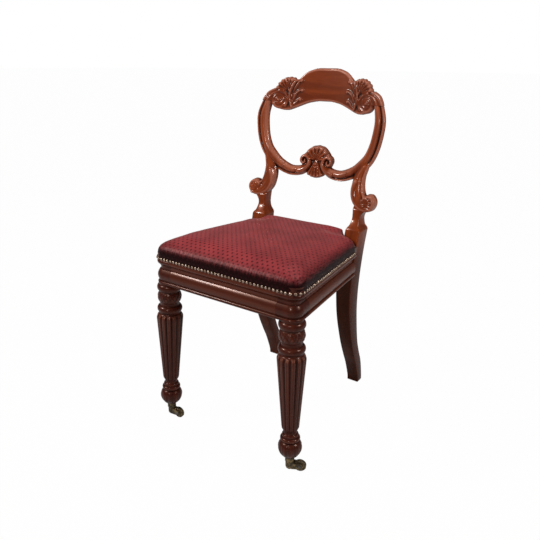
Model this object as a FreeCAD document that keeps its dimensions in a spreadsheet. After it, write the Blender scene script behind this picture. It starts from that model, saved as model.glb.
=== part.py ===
import FreeCAD, Part
import math
import os

import Sketcher
from FreeCAD import Placement, Rotation, Vector

# Balloon back chair: turned and reeded front legs on castors, sabre rear legs that run up into a
# moulded hoop back, and a stuffed seat nailed over the seat rails.
# Millimetres, +Z up, the chair faces -Y, origin on the floor under the middle of the chair.

SIZES = {
    # the whole chair
    "overall_height": 883.0,
    "overall_depth": 500.4,
    "toe_overhang": 12.9,
    # plan of the seat, measured at the line of the nails
    "seat_front_width": 419.0,
    "seat_depth": 342.0,
    "seat_taper_angle": 6.3,
    "seat_rake_angle": 1.8,
    "seat_corner_radius": 27.0,
    "nail_line_height": 454.3,
    # section of the moulded seat rails, heights measured down from the nail line
    "rail_thickness": 30.0,
    "rail_top_rise": 13.0,
    "rail_drop": 65.5,
    "bead_height": 7.0,
    "bead_swell": 1.6,
    "torus_height": 29.0,
    "torus_swell": 4.9,
    "cove_height": 14.5,
    "cove_depth": 8.5,
    "lip_height": 8.0,
    "lip_drop": 5.0,
    "lip_swell": 1.1,
    # leg heads and joints of the seat frame
    "head_depth": 52.0,
    "head_arm": 27.0,
    "dowel_diameter": 9.0,
    "dowel_length": 46.0,
    "dowel_spacing": 30.0,
    "dowel_inset": 18.0,
    "rear_rail_thickness": 24.0,
    "rear_rail_height": 62.0,
    "rear_rail_setback": 14.0,
    "corner_block_height": 38.0,
    "corner_block_reach": 46.0,
    "screw_diameter": 4.4,
    "screw_length": 32.0,
    # turned front leg, heights above the floor and radii
    "leg_splay_angle": 1.5,
    "roll_height": 17.0,
    "roll_radius": 27.0,
    "roll_swell": 3.4,
    "cup_height": 29.5,
    "cup_radius": 25.2,
    "cup_swell": 4.8,
    "ring_gap": 8.8,
    "ring_height": 18.0,
    "ring_radius": 26.0,
    "ring_swell": 5.0,
    "reed_count": 14,
    "reed_top_gap": 14.0,
    "reed_bottom_height": 118.0,
    "reed_top_radius": 33.5,
    "reed_bottom_radius": 20.6,
    "reed_half_width": 7.3,
    "neck_height": 105.0,
    "neck_radius": 15.5,
    "collar_height": 96.5,
    "collar_radius": 18.6,
    "collar_swell": 1.6,
    "ball_top_height": 83.5,
    "ball_top_radius": 20.5,
    "ball_swell": 11.6,
    "ankle_height": 39.0,
    "ankle_radius": 12.2,
    # castors
    "socket_height": 12.0,
    "socket_radius": 11.2,
    "socket_gap": 0.3,
    "pintle_radius": 3.0,
    "running_clearance": 0.05,
    "horn_radius": 9.9,
    "horn_floor_gap": 4.0,
    "wheel_radius": 14.5,
    "wheel_width": 9.0,
    "wheel_trail": 25.0,
    "wheel_side_gap": 0.5,
    "cheek_thickness": 3.0,
    "cheek_radius": 7.0,
    "axle_radius": 2.0,
    "castor_turn_right": 24.0,
    "castor_turn_left": 2.0,
    # rear legs and the posts above them
    "post_outer_half": 168.0,
    "post_inner_half": 128.0,
    "rear_foot_outer_half": 159.0,
    "rear_foot_inner_half": 125.0,
    "rear_foot_sweep": 102.0,
    "rear_foot_depth": 27.0,
    "post_block_top": 495.0,
    # back: the raked and bowed surface that the hoop follows
    "back_rake_slope": 0.12,
    "back_bow": 35.0,
    "back_half_width": 190.0,
    "back_set": 43.0,
    "hoop_width": 33.0,
    "hoop_top_width": 27.0,
    "hoop_front": 8.0,
    "hoop_back": 13.0,
    "crest_height": 85.0,
    "cross_joint_half": 97.0,
    "crest_front": 3.0,
    "crest_back": 15.0,
    "motif_front": 12.0,
    "motif_back": 9.0,
    "back_dowel_diameter": 9.0,
    "back_dowel_length": 40.0,
    # upholstery
    "web_width": 48.0,
    "web_thickness": 1.2,
    "web_gap": 9.0,
    "hessian_thickness": 0.8,
    "cover_thickness": 1.4,
    "band_rise": 24.0,
    "crown_rise": 47.0,
    "post_room_margin": 2.2,
    "nail_radius": 3.8,
    "nail_rise": 2.3,
    "nail_pitch": 9.8,
}


class Size:
    """A number that also knows how it is worked out from the sheet."""

    def __init__(self, value, text):
        self.value = float(value)
        self.text = text

    @staticmethod
    def of(thing):
        return thing if isinstance(thing, Size) else Size(thing, "(%r)" % float(thing))

    def joined(self, sign, other, value):
        return Size(value, "(%s %s %s)" % (self.text, sign, Size.of(other).text))

    def __add__(self, other):
        return self.joined("+", other, self.value + Size.of(other).value)

    def __sub__(self, other):
        return self.joined("-", other, self.value - Size.of(other).value)

    def __mul__(self, other):
        return self.joined("*", other, self.value * Size.of(other).value)

    def __truediv__(self, other):
        return self.joined("/", other, self.value / Size.of(other).value)

    def __radd__(self, other):
        return Size.of(other) + self

    def __rsub__(self, other):
        return Size.of(other) - self

    def __rmul__(self, other):
        return Size.of(other) * self

    def __neg__(self):
        return 0 - self

    def __float__(self):
        return self.value


doc = FreeCAD.newDocument("balloon_back_chair")
sheet = doc.addObject("Spreadsheet::Sheet", "Sizes")
for row, (alias, number) in enumerate(SIZES.items(), 1):
    sheet.set("A%d" % row, alias.replace("_", " "))
    sheet.set("B%d" % row, str(number))
    sheet.setAlias("B%d" % row, alias)
doc.recompute()


def size(alias):
    """The named size, as a value with its sheet expression."""
    return Size(sheet.get(alias), "Sizes.%s" % alias)


def val(alias):
    """The named size as a plain number."""
    return float(sheet.get(alias))


def bind(thing, prop, amount):
    """Tie a property to the sheet."""
    thing.setExpression(prop, Size.of(amount).text)


def turned_heights():
    """Heights on the front leg, from its head down: the ring under the cup and the reeds' top."""
    bottom = size("nail_line_height") - size("rail_drop")
    cup_low = bottom - 4 - size("roll_height") - 1.5 - size("cup_height")
    ring_top = cup_low - size("ring_gap")
    return ring_top, ring_top - size("ring_height") - size("reed_top_gap")


def crest_joint():
    """Height of the joint between the crest rail and the posts."""
    return val("overall_height") - val("crest_height")


# Places that several pieces share
FRONT_Y = -val("overall_depth") / 2 + val("toe_overhang")
POST_Y = FRONT_Y + val("seat_depth")
NAIL_Z = val("nail_line_height")
RAIL_BOTTOM = NAIL_Z - val("rail_drop")
RAIL_TOP = NAIL_Z + val("rail_top_rise")
TAPER = math.radians(val("seat_taper_angle"))
RAKE = val("seat_rake_angle")
CORNER_Y = FRONT_Y + val("seat_corner_radius")
CORNER_X = (
    val("seat_front_width") / 2
    - math.tan(TAPER) * val("seat_corner_radius")
    - val("seat_corner_radius") / math.cos(TAPER)
)
SIDE_TURN = 90 + val("seat_taper_angle")

# The seat frame leans back as one: it is drawn level and turned about the front nail line
SEAT_LEAN = Placement(Vector(), Rotation(Vector(1, 0, 0), -RAKE), Vector(0, FRONT_Y, NAIL_Z))


def arc_radius(start, end, bulge):
    """Radius of the arc between two points whose middle stands off the chord by bulge."""
    across = start[0] - end[0]
    up = start[1] - end[1]
    return (across * across + up * up) / (8 * bulge) + bulge / 2


def arc_middle(start, end, bulge):
    """Middle of that arc, where a positive bulge lies left of the way from start to end."""
    across = end[0] - start[0]
    up = end[1] - start[1]
    reach = math.hypot(across, up)
    return (
        (start[0] + end[0]) / 2 - up / reach * bulge,
        (start[1] + end[1]) / 2 + across / reach * bulge,
    )


def closed_sketch(body, role, points):
    """A closed sketch on one of the body's planes, every corner tied to the sheet.

    points holds (across, up, bulge): the bulge belongs to the edge that starts there."""
    sketch = body.newObject("Sketcher::SketchObject", body.Name + "_sketch")
    plane = [f for f in body.Origin.OriginFeatures if f.Role == role][0]
    sketch.AttachmentSupport = (plane, [""])
    sketch.MapMode = "FlatFace"
    sized = [tuple(Size.of(part) for part in point) for point in points]
    ends = []
    for index, start in enumerate(sized):
        stop = sized[(index + 1) % len(sized)]
        a = Vector(start[0].value, start[1].value, 0)
        b = Vector(stop[0].value, stop[1].value, 0)
        if abs(start[2].value) < 1e-9:
            sketch.addGeometry(Part.LineSegment(a, b), False)
            ends.append((1, 2))
            continue
        mid = Vector(*arc_middle((a.x, a.y), (b.x, b.y), start[2].value), 0)
        clockwise = start[2].value > 0
        first, last = (b, a) if clockwise else (a, b)
        sketch.addGeometry(Part.Arc(first, mid, last), False)
        ends.append((2, 1) if clockwise else (1, 2))
    for index in range(len(sized)):
        after = (index + 1) % len(sized)
        sketch.addConstraint(
            Sketcher.Constraint("Coincident", index, ends[index][1], after, ends[after][0])
        )
    for index, start in enumerate(sized):
        stop = sized[(index + 1) % len(sized)]
        for kind, axis, amount in (("DistanceX", -2, start[0]), ("DistanceY", -1, start[1])):
            if abs(amount.value) < 1e-9:
                held = Sketcher.Constraint("PointOnObject", index, ends[index][0], axis)
                sketch.addConstraint(held)
                continue
            held = Sketcher.Constraint(kind, -1, 1, index, ends[index][0], amount.value)
            number = sketch.addConstraint(held)
            bind(sketch, "Constraints[%d]" % number, amount)
        if abs(start[2].value) > 1e-9:
            swell = start[2] if start[2].value > 0 else -start[2]
            radius = arc_radius(start, stop, swell)
            number = sketch.addConstraint(Sketcher.Constraint("Radius", index, radius.value))
            bind(sketch, "Constraints[%d]" % number, radius)
    return sketch


def turned_body(name, points):
    """A body turned about Z from (radius, height, bulge) points."""
    body = doc.addObject("PartDesign::Body", name)
    sketch = closed_sketch(body, "XZ_Plane", points)
    turning = body.newObject("PartDesign::Revolution", name + "_turning")
    turning.Profile = (sketch, [""])
    turning.ReferenceAxis = (sketch, ["V_Axis"])
    turning.Angle = 360
    body.Tip = turning
    return body


def padded_body(name, role, points, length, midplane=False):
    """A body of one section drawn out to a length."""
    body = doc.addObject("PartDesign::Body", name)
    sketch = closed_sketch(body, role, points)
    pad = body.newObject("PartDesign::Pad", name + "_pad")
    pad.Profile = (sketch, [""])
    pad.Midplane = midplane
    bind(pad, "Length", length)
    body.Tip = pad
    return body


def shape_feature(name, shape):
    """A piece whose form is worked out here and held as one shape."""
    feature = doc.addObject("Part::Feature", name)
    feature.Shape = shape
    return feature


def joined(name, tool_type, base, tool):
    """A boolean of two objects of the document."""
    feature = doc.addObject(tool_type, name)
    feature.Base = base
    feature.Tool = tool
    return feature


def mirrored(name, source):
    """The same piece on the chair's other side."""
    feature = doc.addObject("Part::Mirroring", name)
    feature.Source = source
    feature.Normal = Vector(1, 0, 0)
    return feature


def wire_of(points, place):
    """A closed wire through (across, up, bulge) points, put in space by place."""
    edges = []
    for index, start in enumerate(points):
        stop = points[(index + 1) % len(points)]
        a = place(start[0], start[1])
        b = place(stop[0], stop[1])
        if start[2] == 0:
            edges.append(Part.makeLine(a, b))
        else:
            mid = place(*arc_middle(start, stop, start[2]))
            edges.append(Part.Arc(a, mid, b).toShape())
    return Part.Wire(edges)


def prism(points, place, way):
    """A solid of an outline drawn out along way."""
    return Part.Face(wire_of(points, place)).extrude(way)


# The seat rail's section: (inward from the nail line, height, bulge)
def rail_section(depth):
    """The moulded rail, drawn from its inner bottom corner up the outer face."""
    bottom = size("nail_line_height") - size("rail_drop")
    bead_top = bottom + size("bead_height")
    torus_bottom = bead_top + 0.9
    torus_top = torus_bottom + size("torus_height")
    cove_bottom = torus_top + 0.8
    cove_top = cove_bottom + size("cove_height")
    lip_top = size("nail_line_height") - size("lip_drop")
    lip_bottom = lip_top - size("lip_height")
    top = size("nail_line_height") + size("rail_top_rise")
    face = size("cover_thickness") + 0.1
    return [
        (depth, bottom, 0),
        (size("bead_swell"), bottom, size("bead_swell")),
        (size("bead_swell"), bead_top, 0),
        (size("torus_swell") - 1.0, bead_top, 0),
        (size("torus_swell") - 1.0, torus_bottom, size("torus_swell")),
        (size("torus_swell") + 1.0, torus_top, 0),
        (size("cove_depth"), torus_top, 0),
        (size("cove_depth"), cove_bottom, -2.2),
        (size("lip_swell") + 1.2, lip_bottom - 0.6, 0),
        (size("lip_swell"), lip_bottom, size("lip_swell")),
        (size("lip_swell"), lip_top, 0),
        (face, lip_top, 0),
        (face, top, 0),
        (depth, top, 0),
    ]


def plain_points(points):
    """The same outline as plain numbers."""
    return [tuple(float(part) for part in point) for point in points]


# Dowels of the seat frame: at each joint two, one above the other
def dowel_pair(place, turn):
    """Two dowels that cross a joint, whose middle is at place and whose way is turned by turn."""
    radius = val("dowel_diameter") / 2
    length = val("dowel_length")
    way = Rotation(Vector(0, 0, 1), turn).multVec(Vector(1, 0, 0))
    pair = []
    for step in (-0.5, 0.5):
        middle = place + Vector(0, 0, step * val("dowel_spacing"))
        pair.append(Part.makeCylinder(radius, length, middle - way * (length / 2), way))
    return pair


def side_frame_point(along, inward, height):
    """A point of the right side rail, from the corner's centre along the rail."""
    reach = inward - val("seat_corner_radius")
    turn = Rotation(Vector(0, 0, 1), SIDE_TURN)
    flat = turn.multVec(Vector(along, reach, 0))
    return Vector(CORNER_X + flat.x, CORNER_Y + flat.y, height)


DOWEL_Z = (RAIL_BOTTOM + RAIL_TOP) / 2 - 2
SIDE_LENGTH = (POST_Y - CORNER_Y) / math.cos(TAPER)

right_dowels = []
right_dowels += dowel_pair(
    Vector(CORNER_X - val("head_arm"), FRONT_Y + val("dowel_inset"), DOWEL_Z), 0
)
right_dowels += dowel_pair(
    side_frame_point(val("head_arm"), val("dowel_inset"), DOWEL_Z), SIDE_TURN
)
right_dowels += dowel_pair(
    side_frame_point(SIDE_LENGTH, val("dowel_inset"), DOWEL_Z), SIDE_TURN
)
REAR_RAIL_Z = RAIL_TOP - val("rear_rail_height")
REAR_RAIL_Y = POST_Y + val("rear_rail_setback")
right_dowels += dowel_pair(
    Vector(
        val("post_inner_half"),
        REAR_RAIL_Y + val("rear_rail_thickness") / 2,
        REAR_RAIL_Z + val("rear_rail_height") / 2,
    ),
    0,
)
mirror_x = FreeCAD.Matrix(-1, 0, 0, 0, 0, 1, 0, 0, 0, 0, 1, 0, 0, 0, 0, 1)


def other_side(shape):
    """A copy of a shape on the chair's left."""
    return shape.transformGeometry(mirror_x)


def leaned(shape):
    """A shape of the level seat frame, leaned back with the seat."""
    turned = shape.copy()
    turned.rotate(Vector(0, FRONT_Y, NAIL_Z), Vector(1, 0, 0), -RAKE)
    return turned


# Corner blocks and their screws
BLOCK_Z = RAIL_BOTTOM + 14
FRONT_INNER = FRONT_Y + val("rail_thickness")


def corner_block_front():
    """The glued and screwed block behind the right front leg."""
    reach = val("corner_block_reach")
    near = CORNER_X - val("head_arm")
    side_near = side_frame_point(val("head_arm"), val("rail_thickness"), 0)
    side_far = side_frame_point(val("head_arm") + reach, val("rail_thickness"), 0)
    head_end = side_near.y - math.tan(TAPER) * (side_near.x - near)
    corners = [
        (near - reach, FRONT_INNER, 0),
        (near, FRONT_INNER, 0),
        (near, head_end, 0),
        (side_near.x, side_near.y, 0),
        (side_far.x, side_far.y, 0),
    ]
    return prism(corners, lambda x, y: Vector(x, y, BLOCK_Z), Vector(0, 0, val("corner_block_height")))


def corner_block_rear():
    """The block in the right rear corner, between side rail, post and rear rail."""
    reach = val("corner_block_reach")
    rear = REAR_RAIL_Y
    side_at_post = side_frame_point(SIDE_LENGTH - 2, val("rail_thickness"), 0)
    side_far = side_frame_point(SIDE_LENGTH - 2 - reach, val("rail_thickness"), 0)
    inner = val("post_inner_half")
    corners = [
        (side_far.x, side_far.y, 0),
        (side_at_post.x, side_at_post.y, 0),
        (inner - 4, side_at_post.y, 0),
        (inner - 4, rear, 0),
        (inner - 4 - reach, rear, 0),
    ]
    return prism(corners, lambda x, y: Vector(x, y, BLOCK_Z), Vector(0, 0, val("corner_block_height")))


def wood_screw(head_at, way):
    """A countersunk screw, its head at head_at and its point along way."""
    radius = val("screw_diameter") / 2
    head = Part.makeCone(radius * 1.9, radius, radius * 1.4, head_at, way)
    shank = Part.makeCylinder(radius, val("screw_length"), head_at, way)
    return shank.fuse(head).removeSplitter()


def block_screws():
    """The two screws of each right-hand corner block."""
    height = BLOCK_Z + val("corner_block_height") / 2
    reach = val("corner_block_reach")
    near = CORNER_X - val("head_arm")
    into_front = Vector(0, -1, 0)
    into_side = Rotation(Vector(0, 0, 1), SIDE_TURN).multVec(Vector(0, -1, 0))
    into_rear = Vector(0, 1, 0)
    head_back = 14.0
    front_at = Vector(near - reach * 0.36, FRONT_INNER + head_back, height)
    side_at = side_frame_point(
        val("head_arm") + reach * 0.36, val("rail_thickness") + head_back, height
    )
    rear_side_at = side_frame_point(
        SIDE_LENGTH - 2 - reach * 0.3, val("rail_thickness") + head_back, height
    )
    rear_at = Vector(val("post_inner_half") - 4 - reach * 0.55, REAR_RAIL_Y - head_back, height)
    return [
        wood_screw(front_at, into_front),
        wood_screw(side_at, into_side),
        wood_screw(rear_side_at, into_side),
        wood_screw(rear_at, into_rear),
    ]


right_screws = block_screws()
all_screws = [leaned(s) for s in right_screws] + [leaned(other_side(s)) for s in right_screws]
all_dowels = [leaned(d) for d in right_dowels] + [leaned(other_side(d)) for d in right_dowels]
rail_dowels = shape_feature("rail_dowels", Part.makeCompound(all_dowels))
corner_block_screws = shape_feature("corner_block_screws", Part.makeCompound(all_screws))


# Rear leg and post: sawn to its side outline, then to its front outline
def back_surface(across, up):
    """Depth of the raked and bowed surface that the hoop and crest follow."""
    rise = up - val("post_block_top")
    bow = val("back_bow") * min(1.0, max(0.0, rise / 300.0) ** 0.55)
    return (
        POST_Y
        + val("back_set")
        + val("back_rake_slope") * rise
        + bow * (1 - (across / val("back_half_width")) ** 2)
    )


def post_side_outline():
    """(depth, height, bulge) of the rear leg and post seen from the chair's right."""
    foot = POST_Y + val("rear_foot_sweep")
    block = val("post_block_top")
    slope = val("back_rake_slope")
    upper = POST_Y + val("back_set") - 6
    hoop = crest_joint()
    return [
        (foot, 0, 0),
        (foot + val("rear_foot_depth"), 0, -4.5),
        (POST_Y + 91, 115, 8.5),
        (POST_Y + 50, 300, 5.0),
        (POST_Y + 72, block - 6, 0),
        (POST_Y + 72, block + 1, 3.0),
        (POST_Y + 71, block + 50, 0),
        (POST_Y + 73, block + 95, 0),
        (upper + slope * (hoop - block) + 29, hoop, 0),
        (upper + slope * (hoop - block), hoop, 3.0),
        (POST_Y + 52, block + 118, -1.5),
        (POST_Y + 35, block + 46, 0),
        (POST_Y + 35, block + 40, -1.0),
        (POST_Y + 33, block + 22, -3.0),
        (POST_Y + 19, block, 0),
        (POST_Y + 18, block - 6, -5.0),
        (POST_Y + 3, 320, -8.3),
        (POST_Y + 59, 110, 4.0),
    ]


def post_front_outline():
    """(across, height, bulge) of the right rear leg, its block, waist and scroll from the front."""
    outer = val("post_outer_half")
    inner = val("post_inner_half")
    block = val("post_block_top")
    return [
        (val("rear_foot_inner_half"), 0, 0.8),
        (inner - 6, 330, 0),
        (inner, block - 6, 0),
        (inner + 2, block, -3.0),
        (inner + 9, block + 24, -1.0),
        (inner + 8, block + 47, 4.0),
        (inner - 7, block + 78, 4.0),
        (inner - 11, block + 118, 0),
        (inner + 2, block + 146, 0),
        (outer - 14, block + 146, 0),
        (outer - 17, block + 108, -1.0),
        (outer - 11, block + 88, 3.0),
        (outer + 12, block + 93, 6.0),
        (outer + 24, block + 68, 6.0),
        (outer - 2, block + 43, -2.0),
        (outer - 9, block + 24, -3.5),
        (outer - 1, block, 0),
        (outer, block - 6, 0),
        (outer - 5, 330, 0),
        (val("rear_foot_outer_half"), 0, 0),
    ]


def sawn_post():
    """The rear leg, block, waist and scroll."""
    side = prism(post_side_outline(), lambda y, z: Vector(90, y, z), Vector(120, 0, 0))
    front = prism(post_front_outline(), lambda x, z: Vector(x, -300, z), Vector(0, 700, 0))
    return side.common(front)


# The moulded hoop
def hoop_line():
    """Centre line of the hoop's right half in elevation, from the crest down to the middle."""
    top = crest_joint()
    side = val("back_half_width") - val("hoop_width") / 2
    points = [
        (side - 6.5, top),
        (side + 0.5, top - 56),
        (side - 15, top - 120.5),
        (side - 57.5, top - 168),
        (side - 105.5, top - 182),
        (side - 132, top - 176),
    ]
    curve = Part.BSplineCurve()
    curve.interpolate([Vector(x, 0, z) for x, z in points])
    return curve


HOOP = hoop_line()


def hoop_station(share):
    """One moulded section across the hoop, at a share of its centre line."""
    parameter = HOOP.FirstParameter + share * (HOOP.LastParameter - HOOP.FirstParameter)
    middle = HOOP.value(parameter)
    along = HOOP.tangent(parameter)[0]
    outward = Vector(-along.z, 0, along.x)
    grow = min(1.0, share / 0.18)
    half = (val("hoop_top_width") + grow * (val("hoop_width") - val("hoop_top_width"))) / 2
    if share > 0.6:
        half -= 2.5 * (share - 0.6) / 0.4
    front = val("hoop_front")
    back = -val("hoop_back")

    def place(width, rise):
        spot = middle + outward * width
        return Vector(spot.x, back_surface(spot.x, spot.z) - rise, spot.z)

    section = [
        (-half * 0.6, back, 0),
        (half * 0.55, back, 0),
        (half, back + 7, 0),
        (half, front - 9, -3.6),
        (half * 0.52, front - 7, 0),
        (half * 0.44, front - 8, -8.5),
        (-half, front - 13, 0),
        (-half, back + 6, 0),
    ]
    return wire_of(section, place)


def hoop_share_at(across):
    """The share of the centre line where it crosses a distance from the middle, low down."""
    low, high = 0.4, 1.0
    for _ in range(40):
        mid = (low + high) / 2
        spot = HOOP.value(HOOP.FirstParameter + mid * (HOOP.LastParameter - HOOP.FirstParameter))
        low, high = (mid, high) if spot.x > across else (low, mid)
    return low


def hoop_length(start, stop, count):
    """A length of the moulded hoop between two shares of its centre line."""
    stations = [hoop_station(start + (stop - start) * i / count) for i in range(count + 1)]
    return Part.makeLoft(stations, True, True)


CROSS_SHARE = hoop_share_at(val("cross_joint_half"))


# Crest rail and cross rail
def bowed_slab(front, back, low, high):
    """The bowed and raked board from which a rail of the back is cut."""
    span = val("back_half_width") + 20
    levels = []
    for height in (low, high):
        def place(across, rise, height=height):
            return Vector(across, back_surface(across, height) - rise, height)

        front_arc = Part.Arc(place(-span, front), place(0, front), place(span, front)).toShape()
        back_arc = Part.Arc(place(span, -back), place(0, -back), place(-span, -back)).toShape()
        right = Part.makeLine(place(span, front), place(span, -back))
        left = Part.makeLine(place(-span, -back), place(-span, front))
        levels.append(Part.Wire([front_arc, right, back_arc, left]))
    return Part.makeLoft(levels, True, True)


def crest_outline():
    """Right half of the crest rail: (across, height, bulge), top middle to bottom middle."""
    top = val("overall_height")
    joint = crest_joint()
    side = val("back_half_width")
    return [
        (0, top, 0),
        (28, top, 3.2),
        (62, top - 11, 1.6),
        (80, top - 25.5, -0.6),
        (96, top - 23.5, 6.0),
        (134, top - 35, 0.6),
        (142, top - 47.5, -0.8),
        (150, top - 51, 5.6),
        (side - 10, joint, 0),
        (side - 35, joint, 0.8),
        (150, joint - 11, 3.6),
        (112, joint - 25, 1.2),
        (90, joint - 20, -0.6),
        (60, joint - 8, -2.8),
        (0, joint + 2, 0),
    ]


def motif_outline():
    """Right half of the carved middle of the cross rail."""
    low = crest_joint() - 195
    return [
        (0, low + 85, 5.8),
        (40, low + 58, 0),
        (42, low + 57, 7.0),
        (47, low + 34, 0),
        (40, low + 12, 0),
        (26, low + 8.5, 1.7),
        (0, low, 0),
    ]


def full_outline(half):
    """A half outline closed by its mirror image."""
    points = list(half)
    count = len(half)
    for index in range(count - 2, 0, -1):
        across, up, _ = half[index]
        points.append((-across, up, half[index - 1][2]))
    points[count - 1] = (half[-1][0], half[-1][1], half[-2][2])
    return points


def cut_from_board(outline, front, back, low, high):
    """A rail of the back, cut to its outline from the bowed board."""
    board = bowed_slab(front, back, low, high)
    front_cut = prism(
        full_outline(outline), lambda x, z: Vector(x, POST_Y - 200, z), Vector(0, 500, 0)
    )
    return board.common(front_cut)


crest_solid = cut_from_board(
    crest_outline(),
    val("crest_front"),
    val("crest_back"),
    crest_joint() - 30,
    val("overall_height") + 1,
)
motif_solid = cut_from_board(
    motif_outline(),
    val("motif_front"),
    val("motif_back"),
    crest_joint() - 200,
    crest_joint() - 100,
)
cross_half = hoop_length(CROSS_SHARE, 1.0, 5)
cross_solid = motif_solid.fuse([cross_half, other_side(cross_half)]).removeSplitter()
post_solid = sawn_post().fuse(hoop_length(0, CROSS_SHARE, 11)).removeSplitter()


# Dowels of the back
def back_dowel(middle, way):
    """One dowel through a joint of the back."""
    length = val("back_dowel_length")
    return Part.makeCylinder(
        val("back_dowel_diameter") / 2, length, middle - way * (length / 2), way
    )


def hoop_dowel(share):
    """The dowel along the hoop at a joint."""
    parameter = HOOP.FirstParameter + share * (HOOP.LastParameter - HOOP.FirstParameter)
    middle = HOOP.value(parameter)
    along = HOOP.tangent(parameter)[0]
    here = back_surface(middle.x, middle.z) + 5
    ahead = middle + along
    slope = back_surface(ahead.x, ahead.z) - back_surface(middle.x, middle.z)
    way = Vector(along.x, slope, along.z).normalize()
    return back_dowel(Vector(middle.x, here, middle.z), way)


crest_pin = hoop_dowel(0.0)
cross_pin = hoop_dowel(CROSS_SHARE)
crest_dowels = shape_feature("crest_dowels", Part.makeCompound([crest_pin, other_side(crest_pin)]))
cross_rail_dowels = shape_feature(
    "cross_rail_dowels", Part.makeCompound([cross_pin, other_side(cross_pin)])
)

back_post = shape_feature("back_post_blank", post_solid)
right_post_tools = [crest_pin, cross_pin] + all_dowels
back_post_right = shape_feature("back_post_right", post_solid.cut(right_post_tools))
back_post_left = mirrored("back_post_left", back_post_right)
crest_tools = [crest_pin, other_side(crest_pin), post_solid, other_side(post_solid)]
crest_rail = shape_feature("crest_rail", crest_solid.cut(crest_tools))
cross_rail = shape_feature("cross_rail", cross_solid.cut([cross_pin, other_side(cross_pin)]))

posts_both = Part.makeCompound([post_solid, other_side(post_solid)])
posts_tool = shape_feature("posts_tool", posts_both)
post_shadow = prism(post_side_outline(), lambda y, z: Vector(60, y, z), Vector(200, 0, 0))
shadow_tool = shape_feature("post_shadow", post_shadow)
fasteners_tool = shape_feature("fasteners_tool", Part.makeCompound(all_dowels + all_screws))


# Seat rails
def rail_piece(label, blank, tool):
    """A rail fitted to the posts and bored for its dowels and screws."""
    fitted = joined(label + "_fitted", "Part::Cut", blank, tool)
    return joined(label, "Part::Cut", fitted, fasteners_tool)


def front_length():
    """Length of the front rail between the leg heads."""
    return Size(2 * (CORNER_X - val("head_arm")), "(%r)" % (2 * (CORNER_X - val("head_arm"))))


front_blank = padded_body(
    "front_rail_blank", "YZ_Plane", rail_section(size("rail_thickness")), front_length(), True
)
front_blank.Placement = SEAT_LEAN.multiply(Placement(Vector(0, FRONT_Y, 0), Rotation()))
side_blank = padded_body(
    "side_rail_blank",
    "YZ_Plane",
    rail_section(size("rail_thickness")),
    Size.of(SIDE_LENGTH - val("head_arm") + 25),
)
side_start = side_frame_point(val("head_arm"), 0, 0)
side_blank.Placement = SEAT_LEAN.multiply(
    Placement(side_start, Rotation(Vector(0, 0, 1), SIDE_TURN))
)
front_seat_rail = rail_piece("front_seat_rail", front_blank, posts_tool)
right_seat_rail = rail_piece("right_seat_rail", side_blank, shadow_tool)
left_seat_rail = mirrored("left_seat_rail", right_seat_rail)
rear_blank = doc.addObject("Part::Box", "rear_rail_blank")
bind(rear_blank, "Length", 2 * size("post_inner_half") + 20)
bind(rear_blank, "Width", size("rear_rail_thickness"))
bind(rear_blank, "Height", size("rear_rail_height"))
rear_blank.Placement = SEAT_LEAN.multiply(
    Placement(Vector(-val("post_inner_half") - 10, REAR_RAIL_Y, REAR_RAIL_Z), Rotation())
)
rear_seat_rail = rail_piece("rear_seat_rail", rear_blank, posts_tool)


def leg_head():
    """The square top of the right leg, with the rail's moulding worked round its corner."""
    section = plain_points(rail_section(size("head_depth")))
    radius = val("seat_corner_radius")
    centre = Vector(CORNER_X, CORNER_Y, 0)

    def beside_axis(inward, height):
        return Vector(CORNER_X, FRONT_Y + inward, height)

    face = Part.Face(wire_of(section, beside_axis))
    arm = face.extrude(Vector(-val("head_arm"), 0, 0))
    side_arm = face.extrude(Vector(val("head_arm"), 0, 0))
    side_arm.rotate(centre, Vector(0, 0, 1), SIDE_TURN)
    corner = [(min(x, radius), z, b) for x, z, b in section]
    round_face = Part.Face(wire_of(corner, beside_axis))
    round_part = round_face.revolve(centre, Vector(0, 0, 1), SIDE_TURN)
    return arm.fuse([side_arm, round_part]).removeSplitter()


# Corner blocks
def block_piece(label, solid):
    """A corner block bored for its screws."""
    blank = shape_feature(label + "_blank", leaned(solid.cut([leg_head()])).cut(posts_both))
    return joined(label, "Part::Cut", blank, corner_block_screws)


block_front_right = block_piece("corner_block_front_right", corner_block_front())
block_front_left = mirrored("corner_block_front_left", block_front_right)
block_rear_right = block_piece("corner_block_rear_right", corner_block_rear())
block_rear_left = mirrored("corner_block_rear_left", block_rear_right)


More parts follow.
